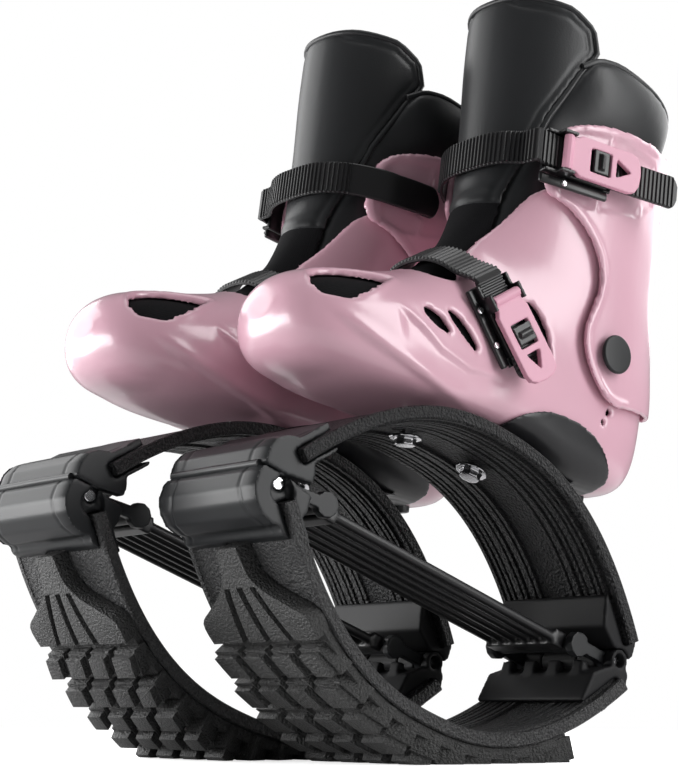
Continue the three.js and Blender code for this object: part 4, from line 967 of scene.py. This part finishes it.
soft_motion = ("left_boot", "left_cuff", placed(BOOT, 0, 60, 105), placed(BOOT, 0, 60, 165))
finish_piece(build_liner(), "padded_liner", "left_boot", "black_leather", "liner", BOOT, 80,
             knit_below(LINER_KNIT_HEIGHT), blend=soft_motion, fill=0.7)
finish_piece(build_tongue(), "padded_tongue", "left_boot", "black_leather", "tongue", BOOT, 80,
             knit_below(SEAM_HEIGHT), blend=soft_motion, fill=0.6)

# %% [markdown]
# The leaves are long-fibre nylon strips, bowed by a power curve. A fine section is swept along the
# curve: plain with raised rims outside, ribbed inside. As the shoe bounces, a leaf flattens towards
# its crown, which a squash along the lens's short axis shows.

# %% Leaf springs
LEAF_HALF_LENGTH = 132.6
LEAF_HALF_WIDTH = 49.5
LEAF_HALF_THICKNESS = 3.5
CROWN = 85.3
LEAF_END = 13.4
BOW_POWER = 2.31
LEAF_STEPS = 84
LEAF_RIBS = [(13.5, 1.2), (19, 2.2), (25.5, 1.2), (31, 2.2), (36.5, 1.2), (41, 1.0)]
RIB_HEIGHT = 1.5
RIB_SLOPE = 0.7
FLATTENED_SHARE = 0.805

def leaf_point(x, reach, outside, side):
    share = min(abs(reach) / LEAF_HALF_LENGTH, 1.2)
    bow = CROWN - LEAF_END
    slope = -math.copysign(bow * BOW_POWER * share ** (BOW_POWER - 1) / LEAF_HALF_LENGTH, reach)
    length = math.hypot(1, slope)
    height = LEAF_END + bow * (1 - share ** BOW_POWER)
    return (x, reach - outside * slope / length, side * (height + outside / length))

def leaf_section():
    """Half the section runs from the middle of the inner face to the middle of the outer one."""
    t = LEAF_HALF_THICKNESS
    half = [(0, -t)]
    for middle, rib in LEAF_RIBS:
        half += [(middle - rib - RIB_SLOPE, -t), (middle - rib, -t - RIB_HEIGHT)]
        half += [(middle + rib, -t - RIB_HEIGHT), (middle + rib + RIB_SLOPE, -t)]
    half += [(45, -t), (45.8, -t - 0.8), (48.4, -t - 0.8), (LEAF_HALF_WIDTH, -t + 0.4)]
    half += [(LEAF_HALF_WIDTH, t - 0.8), (48.7, t), (45.5, t), (44.7, t - 0.7), (0, t - 0.7)]
    return half + [(-x, out) for x, out in reversed(half) if x]

def build_leaf(side):
    rings = []
    for i in range(LEAF_STEPS + 1):
        reach = -LEAF_HALF_LENGTH + 2 * LEAF_HALF_LENGTH * i / LEAF_STEPS
        rings.append([leaf_point(x, reach, out, side) for x, out in leaf_section()])
    return skin("leaf", rings)

def flattening(side):
    """The joint that squashes a leaf, the axis, the place that stays and the share that is left."""
    axis = LENS.to_3x3() @ Vector((0, 0, side))
    crown = placed(LENS, 0, 0, side * (CROWN + LEAF_HALF_THICKNESS))
    return "left_bounce", tuple(axis), crown, FLATTENED_SHARE

for side, name, body, finish in (
    (1, "upper_leaf", "left_boot", "grainy_leaf"),
    # the lower leaf takes the colour with painted sheen, lighter than the upper leaf's
    (-1, "lower_leaf", "soles", "sheen_painted_leaf"),
):
    finish_piece(build_leaf(side), "ribbed_" + name, body, finish, name, LENS, squash=flattening(side))

# %% [markdown]
# The tread follows the lower leaf. One lug is a block in two tiers. It is repeated in rows whose
# slots are staggered, low at the front and taller towards the middle, on a pad that follows the
# leaf. Then everything below the floor is cut off, as if worn flat where the shoe stands.

# %% Tread
TREAD_HALF_WIDTH = 51
TREAD_REAR = 93
TREAD_FLARE = -92
TREAD_NECK = -110
TREAD_TIP = -121
TREAD_FACE = LEAF_HALF_THICKNESS + 0.3
PAD_STEPS = 60
LUG_HEIGHT = (12, 21)
LUG_STAND = (8, 15)
LUG_PITCH = 17.5
LUG_GROOVE = 4
LUG_SLOT = 4.5
LUG_SKEW = 7
LUG_COLUMNS = 4
LUG_STEP_SHARE = 0.6
LUG_STEP_INSET = 1.6
LUG_DRAFT = 0.6
LUG_ROOT = 1.5

def to_middle(reach, sizes):
    """A size that grows from the front of the tread to the middle of the leaf."""
    front, middle = sizes
    share = max(0, min(1, (reach - TREAD_FLARE) / -TREAD_FLARE))
    return front + (middle - front) * share

def tread_ring(reach, left, right, low, high, draft=0):
    """A four-cornered ring on the lower leaf's outer face, its top narrower on both sides by draft."""
    corners = ((left, low), (right, low), (right - draft, high), (left + draft, high))
    return [leaf_point(x, reach, out, -1) for x, out in corners]

def build_lug(x0, x1, start, end):
    """A block in two tiers, the outer one a little smaller all round."""
    tiers = []
    for top, inset in ((LUG_STEP_SHARE, 0), (1, LUG_STEP_INSET)):
        rings = []
        for f in (0, 0.25, 0.5, 0.75, 1):
            reach = start + inset + (end - start - 2 * inset) * f
            skew = LUG_SKEW * ((reach - start) / (end - start) - 0.5)
            height, stand = to_middle(reach, LUG_HEIGHT), to_middle(reach, LUG_STAND)
            high = TREAD_FACE + height - (1 - top) * stand
            low = TREAD_FACE + (height - (1 - LUG_STEP_SHARE) * stand - 1 if inset else LUG_ROOT)
            left, right = x0 + skew + inset, x1 + skew - inset
            rings.append(tread_ring(reach, left, right, low, high, LUG_DRAFT))
        tiers.append(skin("lug", rings))
    return tiers

def build_pad():
    half = TREAD_HALF_WIDTH - LUG_SKEW / 2
    rings = []
    for k in range(PAD_STEPS + 1):
        reach = TREAD_FLARE + (TREAD_REAR - TREAD_FLARE) * k / PAD_STEPS
        low = TREAD_FACE + to_middle(reach, LUG_HEIGHT) - to_middle(reach, LUG_STAND)
        rings.append(tread_ring(reach, -half, half, TREAD_FACE, low))
    return skin("pad", rings)

# %% Front flare of the tread
FLARE_STATIONS = [(TREAD_TIP, 10), (-116, 11), (TREAD_NECK, 13), (-104, 21), (-98, 35)]
FLARE_SLOT_SHARES = (-0.5, 0, 0.5)
FLARE_EDGE = 0.8
SLOT_FLOOR = 3.5
SLOT_TOP = 20
SLOT_FLARE = 1

def build_flare(end):
    """The front tongue, split into long lugs by three diagonal slots."""
    full = TREAD_HALF_WIDTH - LUG_SKEW / 2
    outside = TREAD_FACE + 0.8 * LUG_HEIGHT[0]
    stations = curve_through(FLARE_STATIONS + [(TREAD_FLARE, full), (end, full)], 4)
    rings = [tread_ring(reach, -half, half, TREAD_FACE, outside, FLARE_EDGE) for reach, half in stations]
    flare = skin("flare", rings)
    low, high = TREAD_FACE + SLOT_FLOOR, TREAD_FACE + SLOT_TOP
    for share in FLARE_SLOT_SHARES:
        x = share * TREAD_HALF_WIDTH
        neck = (TREAD_NECK + LUG_GROOVE, x * 0.45)
        mouth = (TREAD_FLARE + LUG_PITCH + 6, x + LUG_SKEW)
        rings = []
        for reach, middle in (neck, mouth):
            left, right = middle - LUG_SLOT / 2, middle + LUG_SLOT / 2
            rings.append(tread_ring(reach, left, right, low, high, -SLOT_FLARE))
        cut(flare, skin("slot", rings))
    return flare

# %% The whole tread
def build_tread():
    pieces = [build_pad()]
    rows = int((TREAD_REAR - TREAD_FLARE - LUG_PITCH) // LUG_PITCH)
    first = TREAD_REAR - rows * LUG_PITCH
    usable = 2 * TREAD_HALF_WIDTH - LUG_SKEW
    width = (usable - (LUG_COLUMNS - 1) * LUG_SLOT) / LUG_COLUMNS
    for row in range(-1, rows):
        start = first + row * LUG_PITCH
        stagger = LUG_SLOT / 2 if row % 2 else -LUG_SLOT / 2
        for column in range(LUG_COLUMNS):
            x = -usable / 2 + column * (width + LUG_SLOT)
            x0 = x + (stagger if column else 0)
            x1 = x + width + (stagger if column < LUG_COLUMNS - 1 else 0)
            pieces += build_lug(x0, x1, start + LUG_GROOVE, start + LUG_PITCH)
    tread = join("tread", *pieces, build_flare(first - LUG_PITCH))
    tread.data.transform(LENS)
    pick(tread)
    bpy.ops.object.mode_set(mode="EDIT")
    bpy.ops.mesh.select_all(action="SELECT")
    bpy.ops.mesh.bisect(plane_co=(0, 0, 0), plane_no=(0, 0, -1), use_fill=True, clear_outer=True)
    bpy.ops.object.mode_set(mode="OBJECT")
    return round_edges(tread, 0.8, 2, 35)

finish_piece(build_tread(), "lugged_tread", "soles", "tread_rubber", "tread", squash=flattening(-1))

# %% [markdown]
# The front barrels get pill-shaped ends, a curved seam line near each end and a bead along the
# lower lip of the upper one, all worked into relaxed copies of the caps. The lower cap's skirt is
# cut off first, because the photograph shows the tread's flare there.

# %% Front clasps
CAP_HALF_WIDTH = 45
UPPER_BARREL = (-136, 6, 17)
LOWER_BARREL = (-136, -9, 19)
PILL_LENGTH = 9
PILL_DROP = 3.2
SEAM_X = 31
SEAM_CURVE = 5
SEAM_DEPTH = 0.9
BARREL_FROM = (127, 132)
LIP_MIDDLE = (-152.6, 0.4)
LIP_SWEEP = 0.012
LIP_HALF_LENGTH = 40
LIP_RADIUS = 2.3
CAP_FRONT, CAP_REAR, CAP_TOP = -180, -60, 60
WHOLE_CAP = -60
ABOVE_SKIRT = -30.5

def barrel_relief(reach, height, radius):
    def height_at(points, normals):
        x = np.abs(points[:, 0])
        away = np.hypot(points[:, 1] - reach, points[:, 2] - height)
        on_barrel = ramp_up(-points[:, 1], *BARREL_FROM) * (away > radius - 2)
        end = np.clip((x - (CAP_HALF_WIDTH - PILL_LENGTH)) / PILL_LENGTH, 0, 1)
        across = np.abs(normals[:, 0]) < 0.7
        turn = (points[:, 2] - height) / radius
        seam = groove(x - SEAM_X - SEAM_CURVE * turn ** 2, 0.7)
        return on_barrel * across * (-SEAM_DEPTH * seam - PILL_DROP * (1 - np.sqrt(1 - 0.85 * end ** 2)))
    return height_at

def build_front_clasp(node, barrel, floor):
    """A relaxed copy of the cap, cut off at a floor in the lens frame, with its barrel's relief."""
    clasp = copy_of_node(node)
    clasp.data.transform(LENS.inverted())
    keep = [(CAP_FRONT, floor), (CAP_REAR, floor), (CAP_REAR, CAP_TOP), (CAP_FRONT, CAP_TOP)]
    trim(clasp, keep)
    clasp.data.transform(LENS)
    return relief(soften(clasp, 1.15, 2), barrel_relief(*barrel), LENS)

def build_lip():
    reach, height = LIP_MIDDLE
    across = range(-LIP_HALF_LENGTH, LIP_HALF_LENGTH + 1, 5)
    lip = tube("lip", [(x, reach + LIP_SWEEP * abs(x), height) for x in across], LIP_RADIUS)
    lip.data.transform(LENS)
    return lip

upper_clasp = build_front_clasp("front_upper_cap", UPPER_BARREL, WHOLE_CAP)
lower_clasp = build_front_clasp("front_lower_cap", LOWER_BARREL, ABOVE_SKIRT)
for clasp, name in ((join("clasp", upper_clasp, build_lip()), "front_upper"), (lower_clasp, "front_lower")):
    finish_piece(clasp, name + "_clasp", f"left_{name}_cap", "satin_cap", name + "_cap", angle=50)

# %% [markdown]
# The other rigid moulded pieces are copied from the frame, remeshed finely and relaxed, so that
# their edges get the small radius that a mould leaves. The strand spring stretches between the two
# axles, so it is blended from one to the other.

# %% Moulded pieces
MOULDED = [
    # node, name, body, finish, voxel, relaxing passes
    ("rear_upper_cap", "rear_upper_clasp", "left_rear_upper_cap", "rear_cap", 1.2, 3),
    ("rear_lower_cap", "rear_lower_clasp", "left_rear_lower_cap", "rear_cap", 1.2, 3),
    ("front_yoke", "front_yoke_moulding", "left_front_axle", "satin_cap", 0.7, 3),
    ("rear_yoke", "rear_yoke_moulding", "left_rear_axle", "satin_cap", 0.7, 3),
    ("heel_bumper", "heel_knob", "left_boot", "mount_rubber", 0.8, 4),
    ("front_mounting_bolt", "front_bolt_and_washer", "left_boot", "bright_steel", 0.5, 3),
    ("rear_mounting_bolt", "rear_bolt_and_washer", "left_boot", "bright_steel", 0.5, 3),
    ("front_axle", "front_axle_pin", "left_front_axle", "bright_steel", 0.5, 3),
    ("rear_axle", "rear_axle_pin", "left_rear_axle", "bright_steel", 0.5, 3),
]
SPRING_REACH = 88

def moulded(node, name, body, finish, voxel, passes, **ties):
    copy = soften(copy_of_node(node), voxel, passes)
    finish_piece(copy, name, body, finish, node, angle=50, **ties)

for row in MOULDED:
    moulded(*row)

spring_ends = [placed(LENS, 0, reach, 0) for reach in (-SPRING_REACH, SPRING_REACH)]
moulded("stretch_spring", "strand_spring", "left_front_axle", "spring_rubber", 1.0, 3,
        blend=("left_front_axle", "left_rear_axle", *spring_ends))

# %% [markdown]
# The heel mount is a wedge under the sole with a thin cup that laps up the heel's sides. The cup
# is the boot's own form, grown a little and trimmed to a rounded outline in the side view. The
# wedge is a copy of the CAD's, trimmed so that only the part between sole and leaf is left.

# %% Heel mount
CUP_OUTLINE = [
    (-6, -6), (-2, 3), (12, 13), (33, 19.5), (54, 19.5), (73, 15), (86, 7), (95, -1), (99, -9), (92, -22),
    (40, -22), (8, -14),
]
CUP_ROWS = (4, 13)
CUP_GROWTH = 2.2
CUP_GAP = 0.3
WEDGE_OUTLINE = [(-200, -60), (-200, -3), (74, -12), (92, -14), (96, -20), (88, -40), (60, -90)]
WEDGE_HALF_WIDTH = 26

def build_heel_mount():
    wedge = copy_of_node("heel_mount")
    wedge.data.transform(BOOT.inverted())
    soften(trim(wedge, rounded(WEDGE_OUTLINE), -WEDGE_HALF_WIDTH, WEDGE_HALF_WIDTH), 1.5, 4)
    cup = boot_body("cup", CUP_GROWTH, *CUP_ROWS)
    trim(cup, rounded(CUP_OUTLINE))
    soften(hollow(cup, CUP_GAP, *CUP_ROWS), 1.3, 3)
    wedge.data.transform(BOOT)
    cup.data.transform(BOOT)
    return join("heel_mount", wedge, cup)

finish_piece(build_heel_mount(), "heel_wedge", "left_boot", "mount_rubber", "heel_mount", angle=60)

# %% [markdown]
# A ladder strap runs in the plane of one section: round the front, through its buckle and on as a
# tail. Its cross-section is swept along that line, and every third millimetre a ridge stands up.
# It is moulded plastic and keeps its curve, so it needs no cloth simulation.

# %% Straps
STRAP_WIDTH = 21
STRAP_THICKNESS = 2.4
STRAP_STEP = 0.75
STRAP_STAND = 1.4
STRAP_RISE_FROM = 24
STRAP_TURNS = (-90, 42, 12)
INNER_FADE = 66
RIDGE_PITCH = 3
RIDGE_HEIGHT = 1.0
BUCKLE_LENGTH = 56
BUCKLE_WIDTH = 27
BUCKLE_FLOOR = 2.4
BUCKLE_LEAD = 5
OVER_TONGUE = -WALL + STRAP_STAND
OVER_CUFF = CUFF_GAP + CUFF_WALL + STRAP_STAND
INSTEP_SEAT = (7.3, 76, 3.6)
CALF_SEAT = (14.3, 72, OVER_CUFF)

# %% Buckle seats
def outline_point(t, angle, outwards):
    """A point of a section's outline in its own plane."""
    row = smooth_row(t)
    length = math.hypot((row[2] - row[0]) * BOOT_LENGTH, (row[3] - row[1]) * BOOT_HEIGHT)
    return Vector(oval_point(row, length, angle, outwards, outwards))

def section_plane(t):
    """A matrix from a section's plane to the boot: x, then down the section, then its normal."""
    tu, tw, bu, bw = smooth_row(t)[:4]
    d = Vector(((bu - tu) * BOOT_LENGTH, (bw - tw) * BOOT_HEIGHT)).normalized()
    return Matrix((
        (1, 0, 0, 0),
        (0, d.x, -d.y, tu * BOOT_LENGTH * mm),
        (0, d.y, d.x, tw * BOOT_HEIGHT * mm),
        (0, 0, 0, 1),
    ))

def buckle_seat(t, degrees, outwards):
    """Where a buckle sits on a section, and the directions along the strap and outwards."""
    angle = math.radians(degrees)
    before, point, after = (outline_point(t, angle + d, outwards) for d in (-1e-3, 0, 1e-3))
    along = (after - before).normalized()
    return point, along, Vector((along.y, -along.x))

# %% Line of a strap
def even_steps(points, step):
    """Points at even steps along a line of close points."""
    line, passed = [points[0]], 0.0
    for a, b in zip(points, points[1:]):
        gap = (b - a).length
        while passed + gap >= step:
            a = a.lerp(b, (step - passed) / gap)
            line.append(a)
            gap = (b - a).length
            passed = 0.0
        passed += gap
    return line

def strap_line(seat, stand_front, tail):
    """The strap's middle line in the section's plane, from the inner side to the tail's end."""
    t, degrees, stand_side = seat
    path = []
    first, last, step = STRAP_TURNS
    for turn in range(first, last + 1, step):
        share = min(abs(turn) / (last if turn > 0 else INNER_FADE), 1) ** 1.3
        stand = stand_front + (stand_side - stand_front) * share
        path.append(outline_point(t, math.radians(turn), stand + STRAP_THICKNESS / 2))
    point, along, out = buckle_seat(*seat)
    height = BUCKLE_FLOOR + 0.3 + STRAP_THICKNESS / 2
    half = BUCKLE_LENGTH / 2
    for reach in (-half - BUCKLE_LEAD, -half, 0, half, half + tail):
        path.append(point + along * reach + out * height)
    return even_steps([Vector(p) for p in curve_through(path, 24)], STRAP_STEP)

# %% Strap with its ridges
def build_strap(seat, tail, plain_share, rise_to_front):
    line = strap_line(seat, OVER_TONGUE, tail)
    length = len(line) * STRAP_STEP
    t2 = STRAP_THICKNESS / 2
    rings = []
    for i, p in enumerate(line):
        tangent = (line[min(i + 1, len(line) - 1)] - line[max(i - 1, 0)]).normalized()
        out = Vector((tangent.y, -tangent.x))
        run = i * STRAP_STEP
        ridged = plain_share * length < run < length - 4 and run % RIDGE_PITCH < RIDGE_PITCH / 2
        top = t2 + (RIDGE_HEIGHT if ridged else 0)
        to_end = min(run, length - run) / 6
        half = STRAP_WIDTH / 2 * math.sqrt(max(0.06, 1 - max(0, 1 - to_end) ** 2))
        profile = [(-half + 0.6, -t2), (half - 0.6, -t2), (half, -t2 + 0.6), (half, t2 - 0.5)]
        profile += [(half - 0.8, top), (-half + 0.8, top), (-half, t2 - 0.5), (-half, -t2 + 0.6)]
        rings.append([(p.x + out.x * n, p.y + out.y * n, z) for z, n in profile])
    strap = skin("strap", rings)
    strap.data.transform(section_plane(seat[0]))
    for vertex in strap.data.vertices:
        vertex.co.z += rise_to_front * max(0, STRAP_RISE_FROM * mm - vertex.co.y)
    return strap

STRAPS = [
    # name, body, seat, tail's length, share without ridges and rise towards the front
    ("instep", "left_boot", INSTEP_SEAT, 4, 0.16, 0),
    ("calf", "left_cuff", CALF_SEAT, 42, 0.24, 0.1),
]
for name, body, *shape in STRAPS:
    strap = build_strap(*shape)
    finish_piece(strap, name + "_ladder_strap", body, "strap_plastic", name + "_strap", BOOT, 25)

# %% [markdown]
# Each buckle frame gets a flange with bright rivets on its front side, placed by the seat that the
# strap passes through. The frames, levers and pawls themselves are relaxed copies of the CAD's.

# %% Buckles
FLANGE_LOW, FLANGE_HIGH = 0.4, 3.4
FLANGE_END = 20
RIVET_INSET = 2.2

def at_seat(t, degrees, outwards):
    """A matrix from the buckle's own axes (outwards, along the strap, across it) to the row frame."""
    point, along, out = buckle_seat(t, degrees, outwards)
    local = Matrix((
        (out.x, along.x, 0, point.x * mm),
        (out.y, along.y, 0, point.y * mm),
        (0, 0, 1, 0),
        (0, 0, 0, 1),
    ))
    return BOOT @ section_plane(t) @ local

def build_buckle(node, seat, rivets):
    base = soften(copy_of_node(node), 0.5, 3)
    edge = -BUCKLE_WIDTH / 2
    low, high = (FLANGE_LOW, -BUCKLE_LENGTH / 2 - 1, edge - 5), (FLANGE_HIGH, FLANGE_END, edge + 1)
    flange = slab("flange", low, high, 1.2, 3)
    flange.data.transform(seat)
    heads = []
    for y in rivets:
        for radius, foot, top, *shape in ((2.1, 3.2, 4.4, 24, 0.5), (1.0, 4.3, 4.6, 12)):
            ends = [(x, y, edge - RIVET_INSET) for x in (foot, top)]
            heads.append(rod("rivet", radius, *ends, *shape))
    rivet_heads = join("rivets", *heads)
    rivet_heads.data.transform(seat)
    return join(node, base, flange), rivet_heads

for name, body, seat, rivets in (
    ("instep", "left_boot", at_seat(*INSTEP_SEAT), (-16, 6)),
    ("calf", "left_cuff", at_seat(*CALF_SEAT), (-12,)),
):
    node = name + "_buckle_base"
    base, heads = build_buckle(node, seat, rivets)
    finish_piece(base, name + "_buckle_frame", body, "buckle_plastic", node, angle=50)
    finish_piece(heads, name + "_buckle_rivets", body, "bright_steel", None)
    moulded(name + "_lever", name + "_lever_plate", f"left_{name}_lever", "lever_pink", 0.5, 5)
    moulded(name + "_pawl", name + "_pawl_tab", f"left_{name}_pawl", "buckle_plastic", 0.4, 3)

# %% [markdown]
# The right shoe is the left one in a mirror, standing a little further forward. A mirror turns every
# face inside out, so the copies have their normals flipped back.

# %% Right shoe
MIRROR = Matrix.Translation((0, -STAGGER * mm, 0)) @ Matrix.Diagonal((-1, 1, 1, 1))

def other_name(text):
    return text.replace("left_", "right_")

def mirrored_place(place):
    return tuple(MIRROR @ Vector(place))

def mirrored_piece(entry):
    mesh = entry["obj"].data.copy()
    mesh.transform(MIRROR)
    mesh.flip_normals()
    obj = add_object(other_name(entry["name"]), mesh)
    replaces = [other_name(n) for n in entry["replaces"]]
    twin = {**entry, "obj": obj, "name": obj.name, "body": other_name(entry["body"]), "replaces": replaces}
    if entry.get("squash"):
        joint, axis, anchor, keep = entry["squash"]
        twin["squash"] = (other_name(joint), (-axis[0], axis[1], axis[2]), mirrored_place(anchor), keep)
    if entry.get("blend"):
        a, b, start, end = entry["blend"]
        twin["blend"] = (other_name(a), other_name(b), mirrored_place(start), mirrored_place(end))
    return twin

finished += [mirrored_piece(entry) for entry in list(finished)]
print(len(finished), "pieces")

# %% [markdown]
# Last, each piece but the blended ones is parented to its body. The pieces that blend between two
# bodies, the liner and the tongue between the boot and the cuff and the strand spring between the
# axles, have their placement baked into their meshes; the leaves and the tread, which flatten as the
# shoe bounces, get meshes of their own; and the CAD nodes that the pieces stand for are hidden. The
# plain view transform shows colours as they are given.

# %% Ties to the frame
for entry in finished:
    obj = entry["obj"]
    if entry.get("blend"):
        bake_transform(obj)
    else:
        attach(obj, entry["body"])
    if entry.get("squash"):
        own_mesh(obj)
    if entry["replaces"]:
        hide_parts(*entry["replaces"])

view = bpy.context.scene.view_settings
view.view_transform = "Standard"
